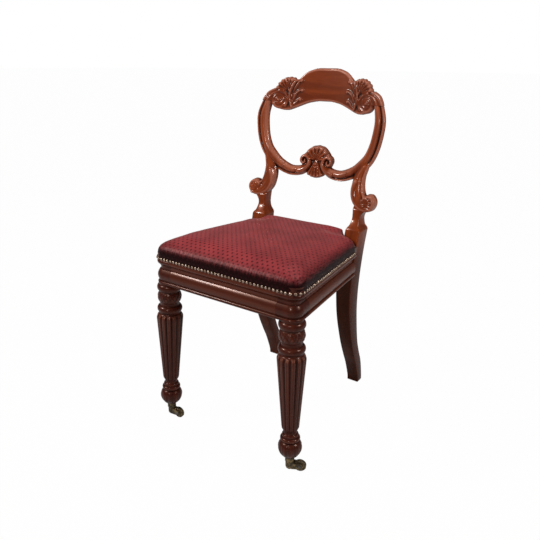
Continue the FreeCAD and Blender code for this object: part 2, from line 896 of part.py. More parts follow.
# Front legs
def turned_leg():
    """The turned and reeded leg, upright about its own axis."""
    bottom = size("nail_line_height") - size("rail_drop")
    roll_low = bottom - 4 - size("roll_height")
    cup_low = roll_low - 1.5 - size("cup_height")
    ring_top, reed_top = turned_heights()
    ring_low = ring_top - size("ring_height")
    reed_centre_top = size("reed_top_radius") - size("reed_half_width")
    reed_foot = size("reed_bottom_radius") * 0.72
    profile = [
        (0, bottom + 3, 0),
        (size("roll_radius") - 1, bottom + 3, 0),
        (size("roll_radius") - 1, bottom - 4, 0),
        (size("roll_radius"), bottom - 4, size("roll_swell")),
        (size("roll_radius"), roll_low, 0),
        (size("cup_radius"), roll_low - 1.5, size("cup_swell")),
        (size("cup_radius"), cup_low, 0),
        (size("cup_radius") - 1, cup_low - 1, -0.8),
        (size("ring_radius") - 1.5, ring_top, 0),
        (size("ring_radius"), ring_top, size("ring_swell")),
        (size("ring_radius"), ring_low, -0.8),
        (size("ring_radius") + 3, reed_top + size("reed_half_width"), 0),
        (reed_centre_top, reed_top, 0),
        (reed_foot, size("reed_bottom_height"), 0),
        (size("neck_radius"), size("neck_height"), -0.8),
        (size("collar_radius") - 1.4, size("collar_height") + 6, size("collar_swell")),
        (size("collar_radius"), size("collar_height"), 0),
        (size("collar_radius") + 1.6, size("collar_height") - 0.5, size("collar_swell") + 1.4),
        (size("ball_top_radius") + 0.4, size("ball_top_height") + 1.6, 0),
        (size("ball_top_radius") - 1, size("ball_top_height") + 0.8, 0),
        (size("ball_top_radius"), size("ball_top_height"), size("ball_swell")),
        (size("ankle_radius"), size("ankle_height"), 0),
        (size("ankle_radius"), size("ankle_height") - 3, 0),
        (0, size("ankle_height") - 3, 0),
    ]
    return turned_body("turned_leg", profile)


def reed_ring(height, crest, half):
    """One level of the reeded shaft: a ring of equal arcs, crest out from the axis."""
    count = int(val("reed_count"))
    step = math.pi / count
    centre = crest - half
    valley = centre * math.cos(step) + math.sqrt(half ** 2 - (centre * math.sin(step)) ** 2)
    arcs = []
    for number in range(count):
        turns = [(2 * number + side) * step for side in (-1, 0, 1)]
        reaches = (valley, crest, valley)
        spots = [
            Vector(reach * math.cos(turn), reach * math.sin(turn), height)
            for reach, turn in zip(reaches, turns)
        ]
        arcs.append(Part.Arc(*spots).toShape())
    return Part.Wire(arcs)


def reeded_shaft():
    """The tapering bundle of reeds, rounded in at both ends."""
    top = turned_heights()[1].value
    foot = val("reed_bottom_height")
    wide = val("reed_top_radius")
    slim = val("reed_bottom_radius")
    half = val("reed_half_width")
    share = slim / wide
    rings = [
        reed_ring(foot - half * 0.9, slim * 0.84, half * share * 0.84),
        reed_ring(foot - half * 0.4, slim * 0.95, half * share * 0.95),
        reed_ring(foot + half * 0.2, slim, half * share),
        reed_ring(top - half * 0.5, wide, half),
        reed_ring(top + half * 0.35, wide * 0.96, half * 0.96),
        reed_ring(top + half * 0.85, wide * 0.87, half * 0.87),
    ]
    return Part.makeLoft(rings, True, True)


# The leg hangs square to the leaned seat and splays a little outward
LEG_TOP = Vector(CORNER_X, CORNER_Y, RAIL_BOTTOM)
leg_splay = Placement(Vector(), Rotation(Vector(0, 1, 0), -val("leg_splay_angle")), LEG_TOP)
leg_place = SEAT_LEAN.multiply(leg_splay).multiply(
    Placement(Vector(CORNER_X, CORNER_Y, 0), Rotation())
)
leg_body = turned_leg()
leg_body.Placement = leg_place
shaft = shape_feature("reeded_shaft", reeded_shaft())
shaft.Placement = leg_place
head = shape_feature("leg_head", leaned(leg_head()))
leg_whole = doc.addObject("Part::MultiFuse", "leg_whole")
leg_whole.Shapes = [head, leg_body, shaft]
FOOT_Z = val("ankle_height") - 1
foot_at = leg_place.multVec(Vector(0, 0, FOOT_Z))
foot_trim = doc.addObject("Part::Box", "foot_trim")
foot_trim.Length = 120
foot_trim.Width = 120
foot_trim.Height = FOOT_Z
foot_trim.Placement = Placement(Vector(foot_at.x - 60, foot_at.y - 60, 0), Rotation())
leg_trimmed = joined("leg_trimmed", "Part::Cut", leg_whole, foot_trim)
front_leg_right = joined("front_leg_right", "Part::Cut", leg_trimmed, fasteners_tool)
front_leg_left = mirrored("front_leg_left", front_leg_right)


# Castors
def castor(side, sign, turn):
    """Every piece of one castor, standing under its leg and trailing at turn degrees."""
    top = size("ankle_height") - 1
    low = top - size("socket_height")
    centre = Vector(sign * foot_at.x, foot_at.y, 0)
    fixed = Placement(centre, Rotation())
    swung = Placement(centre, Rotation(Vector(0, 0, 1), turn))
    bore = size("pintle_radius") + size("running_clearance")
    pieces = {}

    socket = turned_body(
        "castor_socket_" + side,
        [
            (size("pintle_radius"), top - 3, 0),
            (0, top - 3, 0),
            (0, top, 0),
            (size("socket_radius") + 0.8, top, 0),
            (size("socket_radius") + 0.8, top - 1.6, 0),
            (size("socket_radius"), top - 2.4, 0),
            (size("socket_radius") - 0.2, low + 1.5, 0),
            (size("socket_radius"), low, 0),
            (size("pintle_radius"), low, 0),
        ],
    )
    socket.Placement = fixed
    pieces["castor_socket_" + side] = socket

    pintle = turned_body(
        "castor_pintle_" + side,
        [
            (0, top - 3, 0),
            (size("pintle_radius"), top - 3, 0),
            (size("pintle_radius"), 9.0, 0),
            (size("pintle_radius") + 1.5, 9.0, 0),
            (size("pintle_radius") + 1.5, 6.5, 0),
            (0, 6.5, 0),
        ],
    )
    pintle.Placement = fixed
    pieces["castor_pintle_" + side] = pintle

    horn_top = low - size("socket_gap")
    column = turned_body(
        "horn_column_" + side,
        [
            (bore, horn_top, 0),
            (size("horn_radius"), horn_top, 0),
            (size("horn_radius"), 11.0, 0),
            (size("horn_radius") - 1.0, 7.0, 0),
            (size("horn_radius") - 3.5, size("horn_floor_gap"), 0),
            (size("pintle_radius") + 2.2, size("horn_floor_gap"), 0),
            (size("pintle_radius") + 2.2, 9.1, 0),
            (bore, 9.1, 0),
        ],
    )
    column.Placement = swung
    axle_z = size("wheel_radius")
    side_room = size("wheel_width") / 2 + size("wheel_side_gap")
    cheek_points = [
        (5.0, size("horn_floor_gap") + 2.0, 0),
        (5.0, low - 3.5, 0),
        (size("wheel_trail"), axle_z + size("cheek_radius"), size("cheek_radius") - 0.05),
        (size("wheel_trail"), axle_z - size("cheek_radius"), 0),
    ]
    cheeks = []
    for number, hand in enumerate((-1, 1)):
        cheek = padded_body(
            "horn_cheek_%s_%d" % (side, number), "XZ_Plane", cheek_points, size("cheek_thickness")
        )
        start = side_room.value if hand < 0 else -side_room.value - val("cheek_thickness")
        offset = Placement(Vector(0, -start if hand < 0 else -start, 0), Rotation())
        cheek.Placement = swung.multiply(offset)
        cheeks.append(cheek)
    both = joined("horn_cheeks_" + side, "Part::Fuse", cheeks[0], cheeks[1])
    horn_solid = joined("horn_solid_" + side, "Part::Fuse", column, both)
    axle_at = swung.multiply(
        Placement(Vector(val("wheel_trail"), 0, axle_z.value), Rotation(Vector(1, 0, 0), 90))
    )
    half_axle = side_room + size("cheek_thickness")
    axle = turned_body(
        "castor_axle_" + side,
        [
            (0, half_axle + 1.0, 0),
            (size("axle_radius") + 1.0, half_axle + 1.0, 0),
            (size("axle_radius") + 1.4, half_axle, 0),
            (size("axle_radius"), half_axle, 0),
            (size("axle_radius"), -half_axle, 0),
            (size("axle_radius") + 1.4, -half_axle, 0),
            (size("axle_radius") + 1.0, -half_axle - 1.0, 0),
            (0, -half_axle - 1.0, 0),
        ],
    )
    axle.Placement = axle_at
    horn = joined("castor_horn_" + side, "Part::Cut", horn_solid, axle)
    pieces["castor_horn_" + side] = horn
    pieces["castor_axle_" + side] = axle

    half = size("wheel_width") / 2
    wheel = turned_body(
        "castor_wheel_" + side,
        [
            (size("axle_radius") + size("running_clearance"), half, 0),
            (size("axle_radius") + 2.4, half, 0),
            (size("axle_radius") + 3.4, half - 1.0, 0),
            (size("wheel_radius") - 3.4, half - 1.0, 0),
            (size("wheel_radius") - 2.4, half, 0),
            (size("wheel_radius") - 1.0, half, 0),
            (size("wheel_radius"), half - 1.4, 0),
            (size("wheel_radius"), -half + 1.4, 0),
            (size("wheel_radius") - 1.0, -half, 0),
            (size("wheel_radius") - 2.4, -half, 0),
            (size("wheel_radius") - 3.4, -half + 1.0, 0),
            (size("axle_radius") + 3.4, -half + 1.0, 0),
            (size("axle_radius") + 2.4, -half, 0),
            (size("axle_radius") + size("running_clearance"), -half, 0),
        ],
    )
    wheel.Placement = axle_at
    pieces["castor_wheel_" + side] = wheel
    return pieces


castors = {}
castors.update(castor("right", 1, val("castor_turn_right")))
castors.update(castor("left", -1, val("castor_turn_left")))


# Upholstery
def seat_outline(inset, height, rear_inset):
    """The seat's plan at an inset from the nail line, as a level wire."""
    radius = val("seat_corner_radius")
    half_front = CORNER_X
    side = Rotation(Vector(0, 0, 1), SIDE_TURN)
    reach = radius - inset
    front = FRONT_Y + inset
    if reach < 4.0:
        shift = 4.0 - reach
        reach = 4.0
    else:
        shift = 0.0
    centre = Vector(half_front - shift, CORNER_Y + shift, height)
    outward = side.multVec(Vector(0, -1, 0))
    along = side.multVec(Vector(1, 0, 0))
    rear = REAR_RAIL_Y + val("rear_rail_thickness") + val("cover_thickness") + 0.1 - rear_inset
    side_start = centre + outward * reach
    run = (rear - side_start.y) / along.y
    side_end = side_start + along * run
    bisect = (Vector(0, -1, 0) + outward).normalize()
    corner = Part.Arc(Vector(centre.x, front, height), centre + bisect * reach, side_start).toShape()
    left_start = Vector(-side_start.x, side_start.y, height)
    left_corner = Part.Arc(
        left_start,
        Vector(-(centre + bisect * reach).x, (centre + bisect * reach).y, height),
        Vector(-centre.x, front, height),
    ).toShape()
    left_end = Vector(-side_end.x, side_end.y, height)
    return Part.Wire(
        [
            Part.makeLine(Vector(-centre.x, front, height), Vector(centre.x, front, height)),
            corner,
            Part.makeLine(side_start, side_end),
            Part.makeLine(side_end, left_end),
            Part.makeLine(left_end, left_start),
            left_corner,
        ]
    )


def crowned_pad(inset, low, shrink):
    """The stuffed seat: straight sides up to the band, then rounding over to the crown."""
    band = NAIL_Z + val("band_rise")
    crown = NAIL_Z + val("crown_rise")
    rise = crown - band
    steps = [(0.0, 0.0), (2.5, 0.28), (8.0, 0.52), (20.0, 0.74), (45.0, 0.89), (85.0, 0.97), (125.0, 1.0)]
    wires = [seat_outline(inset, low, inset)]
    for step, share in steps:
        wires.append(
            seat_outline(inset + step, band + rise * share - shrink, inset + min(step * 0.5, 9.0))
        )
    return Part.makeLoft(wires, True, True)


def post_room(clear):
    """The space that the posts take out of the upholstery."""
    inner = val("post_inner_half") - val("post_room_margin") - clear
    room = Part.makeBox(120, 160, 200, Vector(inner, POST_Y + 2 - clear, NAIL_Z - 60))
    return [room, other_side(room)]


WEB_Z = RAIL_TOP
hessian_low = WEB_Z + 2 * val("web_thickness")
stuffing_low = hessian_low + val("hessian_thickness")
skin = val("cover_thickness")
outer_pad = crowned_pad(0.0, NAIL_Z - val("lip_drop"), 0.0)
inner_pad = crowned_pad(skin, NAIL_Z - val("lip_drop") - 5, skin)
clip_low = Part.makeBox(700, 700, stuffing_low, Vector(-350, -350, 0))
stuffing_solid = inner_pad.cut([clip_low]).cut(post_room(0.3))
cover_solid = outer_pad.cut(inner_pad).cut(post_room(0.3))
seat_stuffing = shape_feature("seat_stuffing", leaned(stuffing_solid))
seat_cover = shape_feature("seat_cover", leaned(cover_solid))


def level_sheet(low, thick, inset):
    """A flat sheet over the rails."""
    wire = seat_outline(inset, low, inset)
    return Part.Face(wire).extrude(Vector(0, 0, thick))


hessian_solid = level_sheet(hessian_low, val("hessian_thickness"), 4.0).cut(post_room(0.3))
hessian = shape_feature("hessian", leaned(hessian_solid))


def web_straps():
    """Two layers of webbing, tacked over the rails."""
    width = val("web_width")
    pitch = width + val("web_gap")
    thick = val("web_thickness")
    reach_y = REAR_RAIL_Y + val("rear_rail_thickness") - 3 - (FRONT_Y + 6)
    clip = level_sheet(WEB_Z - 1, 2 * thick + 2, 6.0).cut(post_room(0.3))
    lengthwise = []
    for number in (-2, -1, 0, 1, 2):
        strap = Part.makeBox(
            width, reach_y, thick, Vector(number * pitch - width / 2, FRONT_Y + 6, WEB_Z)
        )
        lengthwise.append(strap.common(clip))
    crosswise = []
    first = FRONT_Y + 45
    for number in range(5):
        strap = Part.makeBox(
            420, width, thick, Vector(-210, first + number * pitch, WEB_Z + thick)
        )
        crosswise.append(strap.common(clip))
    return lengthwise, crosswise


lengthwise_straps, crosswise_straps = web_straps()
webbing_lengthwise = shape_feature(
    "webbing_lengthwise", leaned(Part.makeCompound(lengthwise_straps))
)
webbing_crosswise = shape_feature("webbing_crosswise", leaned(Part.makeCompound(crosswise_straps)))


def nail_head(at, outward):
    """A low six-sided dome, flat against the cover."""
    across = Vector(-outward.y, outward.x, 0)
    up = Vector(0, 0, 1)
    rings = []
    for radius, rise in ((val("nail_radius"), 0), (val("nail_radius") * 0.55, val("nail_rise"))):
        corners = []
        for turn in range(6):
            angle = math.radians(60 * turn)
            spoke = across * (radius * math.cos(angle)) + up * (radius * math.sin(angle))
            corners.append(at + outward * rise + spoke)
        rings.append(Part.makePolygon(corners + [corners[0]]))
    return Part.makeLoft(rings, True, True)


def nail_rows():
    """Nail heads along the front and the right side, round the corner between them."""
    pitch = val("nail_pitch")
    radius = val("seat_corner_radius")
    front_nails = []
    count = int((CORNER_X - 2) / pitch)
    for number in range(-count, count + 1):
        front_nails.append(nail_head(Vector(number * pitch, FRONT_Y, NAIL_Z), Vector(0, -1, 0)))
    side_nails = []
    arc_steps = 4
    centre = Vector(CORNER_X, CORNER_Y, NAIL_Z)
    for number in range(arc_steps):
        turn = math.radians(SIDE_TURN * (number + 0.7) / arc_steps)
        outward = Vector(math.sin(turn), -math.cos(turn), 0)
        side_nails.append(nail_head(centre + outward * radius, outward))
    side = Rotation(Vector(0, 0, 1), SIDE_TURN)
    outward = side.multVec(Vector(0, -1, 0))
    steps = int((SIDE_LENGTH - 6) / pitch)
    for number in range(1, steps + 1):
        side_nails.append(nail_head(side_frame_point(number * pitch, 0, NAIL_Z), outward))
    return front_nails, side_nails


front_nails, side_nails = nail_rows()
nails_front = shape_feature("nails_front", leaned(Part.makeCompound(front_nails)))
nails_right = shape_feature("nails_right", leaned(Part.makeCompound(side_nails)))
nails_left = mirrored("nails_left", nails_right)

sub_parts = {
    "front_leg_left": front_leg_left,
    "front_leg_right": front_leg_right,
    "back_post_left": back_post_left,
    "back_post_right": back_post_right,
    "front_seat_rail": front_seat_rail,
    "left_seat_rail": left_seat_rail,
    "right_seat_rail": right_seat_rail,
    "rear_seat_rail": rear_seat_rail,
    "corner_block_front_left": block_front_left,
    "corner_block_front_right": block_front_right,
    "corner_block_rear_left": block_rear_left,
    "corner_block_rear_right": block_rear_right,
    "corner_block_screws": corner_block_screws,
    "rail_dowels": rail_dowels,
    "crest_rail": crest_rail,
    "cross_rail": cross_rail,
    "crest_dowels": crest_dowels,
    "cross_rail_dowels": cross_rail_dowels,
    "webbing_lengthwise": webbing_lengthwise,
    "webbing_crosswise": webbing_crosswise,
    "hessian": hessian,
    "seat_stuffing": seat_stuffing,
    "seat_cover": seat_cover,
    "nails_front": nails_front,
    "nails_right": nails_right,
    "nails_left": nails_left,
}
sub_parts.update(castors)
doc.recompute()

for name, piece in sub_parts.items():
    piece.Label = name

failed = [o.Name for o in doc.Objects if "Invalid" in o.State or "Error" in o.State]
if failed:
    raise RuntimeError("objects failed to build: %s" % ", ".join(failed))
for name, piece in sub_parts.items():
    if piece.Shape.isNull() or not piece.Shape.isValid() or not piece.Shape.Solids:
        raise RuntimeError("%s has no valid solid" % name)

os.makedirs("parts", exist_ok=True)
for name, piece in sub_parts.items():
    piece.Shape.exportStep(os.path.join("parts", name + ".step"))

whole = FreeCAD.BoundBox()
for piece in sub_parts.values():
    whole.add(piece.Shape.BoundBox)
print("pieces %d, box %.1f x %.1f x %.1f mm" % (len(sub_parts), whole.XLength, whole.YLength, whole.ZLength))
print("box middle %.2f, %.2f, floor %.3f" % (whole.Center.x, whole.Center.y, whole.ZMin))
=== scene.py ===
import logging
import math
from dataclasses import dataclass, field
from enum import Enum
from typing import Callable, Sequence

import bpy
import numpy as np
from mathutils import Matrix, Vector


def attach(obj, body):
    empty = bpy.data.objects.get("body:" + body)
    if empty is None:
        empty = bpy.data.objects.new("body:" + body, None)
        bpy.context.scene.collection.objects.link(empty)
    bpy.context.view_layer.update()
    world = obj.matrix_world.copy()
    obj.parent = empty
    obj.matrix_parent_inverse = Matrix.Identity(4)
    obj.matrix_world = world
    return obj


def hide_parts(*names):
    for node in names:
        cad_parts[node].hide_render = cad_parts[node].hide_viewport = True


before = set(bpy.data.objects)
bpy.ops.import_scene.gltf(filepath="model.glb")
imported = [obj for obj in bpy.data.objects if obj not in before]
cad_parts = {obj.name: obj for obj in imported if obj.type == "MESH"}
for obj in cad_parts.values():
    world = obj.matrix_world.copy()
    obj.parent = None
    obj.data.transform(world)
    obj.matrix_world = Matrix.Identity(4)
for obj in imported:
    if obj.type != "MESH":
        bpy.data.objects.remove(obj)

# Looks of the balloon back chair. Sizes are millimetres in the chair's own frame, apart from those of
# the materials, the simulation and the studio, which are metres like the meshes.

log = logging.getLogger("balloon_back_chair")
MM = 0.001
POST_Y = 104.7  # front of the square posts
EMPTY = -14.0  # height of a relief map where nothing lies on it
BLACK = (0.0, 0.0, 0.0, 1.0)
WHITE = (1.0, 1.0, 1.0, 1.0)
Colour = Place = tuple[float, float, float]
Array = np.ndarray
Piece = tuple[Array, Sequence, Array]


class Grain(Enum):
    """Which way the grain of a piece of wood runs, as the stretch of its pattern."""

    UPRIGHT = (1, 1, 0.07)
    ACROSS = (0.07, 1, 1)
    FRONT_TO_BACK = (1, 0.07, 1)


# Shader groups


def _socket(
    group: bpy.types.NodeTree, name: str, kind: str, default: object = None, out: bool = False
) -> None:
    """Add one named socket to a node group.

    Args:
        group: The group that gets the socket.
        name: The socket's name.
        kind: Float, Color, Vector or Geometry.
        default: The value where nothing is linked.
        out: Whether the socket is an output.
    """
    way = "OUTPUT" if out else "INPUT"
    made = group.interface.new_socket(name, in_out=way, socket_type="NodeSocket" + kind)
    if default is not None:
        made.default_value = default


class NodeBench:
    """Short ways to place and link shader nodes in one tree."""

    def __init__(self, tree: bpy.types.NodeTree) -> None:
        """Keep the tree that the nodes go into."""
        self.tree = tree

    def add(self, kind: str, **values: object) -> bpy.types.Node:
        """Place a node.

        Args:
            kind: The node's type name, without ShaderNode in front of it.
            values: Properties of the node.

        Returns:
            The new node.
        """
        known = kind.startswith(("NodeGroup", "GeometryNode", "FunctionNode"))
        node = self.tree.nodes.new(kind if known else "ShaderNode" + kind)
        for name, value in values.items():
            setattr(node, name, value)
        return node

    def feed(self, node: bpy.types.Node, **inputs: object) -> bpy.types.Node:
        """Set or link a node's inputs, named with underscores or as i0, i1 and so on.

        Args:
            node: The node to feed.
            inputs: Values, or output sockets to link from.

        Returns:
            The same node.
        """
        for name, value in inputs.items():
            numbered = name[0] == "i" and name[1:].isdigit()
            socket = node.inputs[int(name[1:]) if numbered else name.replace("_", " ")]
            if isinstance(value, bpy.types.NodeSocket):
                self.tree.links.new(value, socket)
            else:
                socket.default_value = value
        return node

    def math(self, operation: str, *values: object) -> bpy.types.NodeSocket:
        """Place a Math node and return its result."""
        inputs = {f"i{number}": value for number, value in enumerate(values)}
        return self.feed(self.add("Math", operation=operation), **inputs).outputs[0]

    def times(self, first: object, second: object) -> bpy.types.NodeSocket:
        """Multiply two values."""
        return self.math("MULTIPLY", first, second)

    def plus(self, first: object, second: object) -> bpy.types.NodeSocket:
        """Add two values."""
        return self.math("ADD", first, second)

    def minus(self, first: object, second: object) -> bpy.types.NodeSocket:
        """Take the second value from the first."""
        return self.math("SUBTRACT", first, second)

    def mix(self, share: object, first: object, second: object) -> bpy.types.NodeSocket:
        """Place a colour Mix node and return its result."""
        node = self.add("Mix", data_type="RGBA")
        return self.feed(node, i0=share, i6=first, i7=second).outputs[2]

    def ramp(self, value: object, low: float, high: float) -> bpy.types.NodeSocket:
        """Place a smooth Map Range from low..high to 0..1 and return its result."""
        node = self.add("MapRange", interpolation_type="SMOOTHSTEP")
        return self.feed(node, i0=value, i1=low, i2=high).outputs[0]

    def noise(self, vector: object, scale: object, detail: float, **more: float) -> bpy.types.NodeSocket:
        """Place a Noise Texture and return its factor."""
        node = self.add("TexNoise")
        return self.feed(node, Vector=vector, Scale=scale, Detail=detail, **more).outputs["Fac"]

    def split(self, vector: object) -> Sequence[bpy.types.NodeSocket]:
        """Place a Separate XYZ node and return its three outputs."""
        return self.feed(self.add("SeparateXYZ"), Vector=vector).outputs

    def place(self) -> bpy.types.NodeSocket:
        """Place a Texture Coordinate node and return its Object output."""
        return self.add("TexCoord").outputs["Object"]


def _group(name: str, inputs: dict[str, object], outputs: dict[str, str]) -> tuple[NodeBench, Sequence]:
    """Start a shader group.

    Args:
        name: The group's name.
        inputs: Each input's value: a number, a colour, or None for a vector.
        outputs: Each output's kind.

    Returns:
        A bench on the group, and the sockets that bring its inputs in.
    """
    group = bpy.data.node_groups.new(name, "ShaderNodeTree")
    kinds = {float: "Float", tuple: "Color", type(None): "Vector"}
    for label, value in inputs.items():
        _socket(group, label, kinds[type(value)], value)
    for label, kind in outputs.items():
        _socket(group, label, kind, out=True)
    bench = NodeBench(group)
    return bench, bench.add("NodeGroupInput").outputs


def grain_group() -> bpy.types.NodeTree:
    """Build the wood grain: streaks, pores and slow changes of colour along the grain."""
    inputs = {"Vector": None, "Streak": 90.0, "Depth": 0.6, "Dark": BLACK, "Light": WHITE}
    bench, given = _group("polished_grain", inputs, {"Color": "Color", "Height": "Float"})
    vector, dark = given["Vector"], given["Dark"]
    streaks = bench.noise(vector, given["Streak"], 5.0, Roughness=0.62, Distortion=0.6)
    slow = bench.noise(vector, 11.0, 2.0, Distortion=1.1)
    pores = bench.noise(vector, 420.0, 2.0)
    tone = bench.ramp(bench.plus(bench.times(streaks, 0.62), bench.times(slow, 0.5)), 0.36, 0.74)
    colour = bench.mix(bench.times(tone, given["Depth"]), given["Light"], dark)
    specks = bench.ramp(pores, 0.58, 0.72)
    colour = bench.mix(bench.times(specks, 0.18), colour, dark)
    height = bench.plus(bench.times(streaks, 0.6), bench.times(specks, -0.4))
    bench.feed(bench.add("NodeGroupOutput"), Color=colour, Height=height)
    return bench.tree


def weave_group() -> bpy.types.NodeTree:
    """Build the plain weave: two crossed sets of threads."""
    outputs = {"Mask": "Float", "Height": "Float"}
    bench, given = _group("crossed_threads", {"Vector": None, "Threads": 900.0}, outputs)
    waves = []
    for part in list(bench.split(given["Vector"]))[:2]:
        waves.append(bench.math("ABSOLUTE", bench.math("SINE", bench.times(part, given["Threads"]))))
    bench.feed(bench.add("NodeGroupOutput"), Mask=bench.times(*waves), Height=bench.math("MAXIMUM", *waves))
    return bench.tree


def dirt_shade_and_highlight_group() -> bpy.types.NodeTree:
    """Build grime and painted shade in the hollows and painted highlights on the ridges, read from the
    carving's own attribute.
    """
    inputs = {"Color": WHITE, "Dirt": BLACK, "Amount": 0.8}
    bench, given = _group("dirt_shade_and_highlight", inputs, {"Color": "Color", "Hollow": "Float"})
    relief = bench.add("Attribute", attribute_name="relief").outputs["Fac"]
    spots = bench.minus(bench.noise(bench.place(), 60.0, 3.0), 0.5)
    deep = bench.plus(bench.times(relief, -1.0), bench.times(spots, 0.25))
    hollow = bench.times(bench.ramp(deep, 0.08, 0.9), given["Amount"])
    # painted highlight: the ridges that stand up are mixed towards a pale pinkish colour
    painted_highlight_share = bench.times(bench.ramp(relief, 0.2, 1.2), 0.5)
    highlighted_colour = bench.mix(painted_highlight_share, given["Color"], (0.50, 0.19, 0.12, 1.0))
    # part grime, part painted shade: the hollows are darkened towards the grime colour
    colour = bench.mix(hollow, highlighted_colour, given["Dirt"])
    bench.feed(bench.add("NodeGroupOutput"), Color=colour, Hollow=hollow)
    return bench.tree


GRAIN = grain_group()
WEAVE = weave_group()
DIRT_SHADE_AND_HIGHLIGHT = dirt_shade_and_highlight_group()


def _blank(name: str) -> tuple[bpy.types.Material, NodeBench, bpy.types.Node]:
    """Make an empty material with a Principled BSDF.

    Args:
        name: The material's name.

    Returns:
        The material, a bench on its tree and its shader.
    """
    material = bpy.data.materials.new(name)
    material.use_nodes = True
    material.node_tree.nodes.clear()
    bench = NodeBench(material.node_tree)
    shader = bench.add("BsdfPrincipled")
    output = bench.add("OutputMaterial")
    bench.tree.links.new(shader.outputs[0], output.inputs["Surface"])
    return material, bench, shader


def _bump(
    bench: NodeBench, shader: bpy.types.Node, height: bpy.types.NodeSocket, strength: float, distance: float
) -> None:
    """Feed a height to a shader's normal through a Bump node."""
    bump = bench.feed(bench.add("Bump"), Strength=strength, Distance=distance, Height=height)
    bench.feed(shader, Normal=bump.outputs[0])


@dataclass(frozen=True)
class PolishedWood:
    """French-polished mahogany, which may be darker and duller below the seat, as painted shade."""

    name: str
    light: Colour
    dark: Colour
    grain: Grain
    # the hollows' colour and its share are part grime, part painted shade
    dirt: Colour = (0.012, 0.004, 0.003)
    roughness: float = 0.3
    gloss: float = 0.26
    coat: float = 0.09
    dirt_and_shade_amount: float = 0.85
    streak: float = 55.0
    shade: float = 1.0
    shade_heights: tuple[float, float] = (0.40, 0.50)

    def make(self) -> bpy.types.Material:
        """Build the material and return it."""
        material, bench, shader = _blank(self.name)
        place = bench.place()
        mapping = bench.feed(bench.add("Mapping"), Vector=place, Scale=self.grain.value)
        grain = bench.add("Group", node_tree=GRAIN)
        bench.feed(grain, Vector=mapping.outputs[0], Streak=self.streak, Depth=0.75)
        bench.feed(grain, Dark=(*self.dark, 1), Light=(*self.light, 1))
        dirt_shade_highlight = bench.add("Group", node_tree=DIRT_SHADE_AND_HIGHLIGHT)
        bench.feed(dirt_shade_highlight, Color=grain.outputs["Color"], Dirt=(*self.dirt, 1), Amount=self.dirt_and_shade_amount)
        # painted shade: below the seat the colour, specular level and coat fall to the share given by shade
        lit = bench.ramp(bench.split(place)[2], *self.shade_heights)
        lit = bench.plus(self.shade, bench.times(lit, 1 - self.shade))
        rough = bench.plus(bench.times(bench.noise(place, 24.0, 3.0), 0.16), self.roughness - 0.08)
        bench.feed(
            shader,
            Base_Color=bench.mix(lit, BLACK, dirt_shade_highlight.outputs["Color"]),
            Roughness=bench.plus(rough, bench.times(dirt_shade_highlight.outputs["Hollow"], 0.3)),
            Specular_IOR_Level=bench.times(lit, self.gloss),
            Specular_Tint=(1.0, 0.55, 0.40, 1.0),
            Coat_Weight=bench.times(lit, self.coat),
            Coat_Roughness=0.12,
            Coat_IOR=1.5,
        )
        _bump(bench, shader, grain.outputs["Height"], 0.12, 0.0006)
        return material


@dataclass(frozen=True)
class SatinCloth:
    """Crimson satin with small dark dots in staggered rows, in painted shade where it turns down."""

    name: str
    top: Colour
    side: Colour
    dot: Colour
    pitch: float = 0.0135
    row: float = 0.0085
    dot_radius: float = 0.0024
    slope: float = 0.0314
    fade: tuple[float, float] = (0.462, 0.489)

    def dots(self, bench: NodeBench, cloth: bpy.types.NodeSocket, shift: float) -> bpy.types.NodeSocket:
        """Tell where every second row of dots is.

        Args:
            bench: The material's bench.
            cloth: Place on the cloth.
            shift: How far the rows are shifted, as a share of their spacing.

        Returns:
            A socket that is 1 on a dot.
        """
        legs = []
        for value, size in zip(bench.split(cloth), (self.pitch, 2 * self.row)):
            cell = bench.plus(bench.math("DIVIDE", value, size), shift)
            near = bench.times(bench.minus(bench.math("FRACT", cell), 0.5), size / self.dot_radius)
            legs.append(bench.math("POWER", bench.math("ABSOLUTE", near), 2.0))
        return bench.minus(1.0, bench.ramp(bench.math("SQRT", bench.plus(*legs)), 0.55, 1.35))

    def lit(self, bench: NodeBench, cloth: bpy.types.NodeSocket) -> bpy.types.NodeSocket:
        """Tell the lit top from the shaded sides, with a ragged change along the threads."""
        _, y, z = bench.split(bench.place())
        threads = bench.feed(bench.add("Mapping"), Vector=cloth, Scale=(1.0, 0.12, 1.0)).outputs[0]
        ragged = bench.times(bench.minus(bench.noise(threads, 260.0, 3.0), 0.5), 0.022)
        level = bench.plus(z, bench.times(y, self.slope))
        return bench.ramp(bench.plus(level, ragged), *self.fade)

    def make(self) -> bpy.types.Material:
        """Build the material and return it."""
        material, bench, shader = _blank(self.name)
        cloth = bench.add("UVMap", uv_map="cloth").outputs[0]
        dots = bench.math("MAXIMUM", self.dots(bench, cloth, 0.0), self.dots(bench, cloth, 0.5))
        lit = self.lit(bench, cloth)
        patches = bench.ramp(bench.noise(cloth, 14.0, 3.0), 0.35, 0.7)
        muted = [part * 0.72 for part in self.top]
        top = bench.mix(patches, (*self.top, 1), (*muted, 1))
        # painted shade: the sides where the cover turns down take the dark side colour, with less specular
        # level and sheen
        body = bench.mix(lit, (*self.side, 1), top)
        weave = bench.feed(bench.add("Group", node_tree=WEAVE), Vector=cloth, Threads=4200.0)
        colour = bench.mix(bench.times(dots, 0.82), body, (*self.dot, 1))
        bench.feed(
            shader,
            Base_Color=bench.mix(bench.times(weave.outputs["Mask"], 0.22), colour, (*self.dot, 1)),
            Roughness=0.42,
            Specular_IOR_Level=bench.plus(0.12, bench.times(lit, 0.33)),
            Specular_Tint=(1.0, 0.45, 0.42, 1.0),
            Sheen_Weight=bench.times(lit, 0.16),
            Sheen_Roughness=0.35,
            Sheen_Tint=(1.0, 0.55, 0.5, 1.0),
        )
        height = bench.minus(bench.times(weave.outputs["Height"], 0.25), bench.times(dots, 0.9))
        _bump(bench, shader, height, 0.35, 0.0006)
        return material


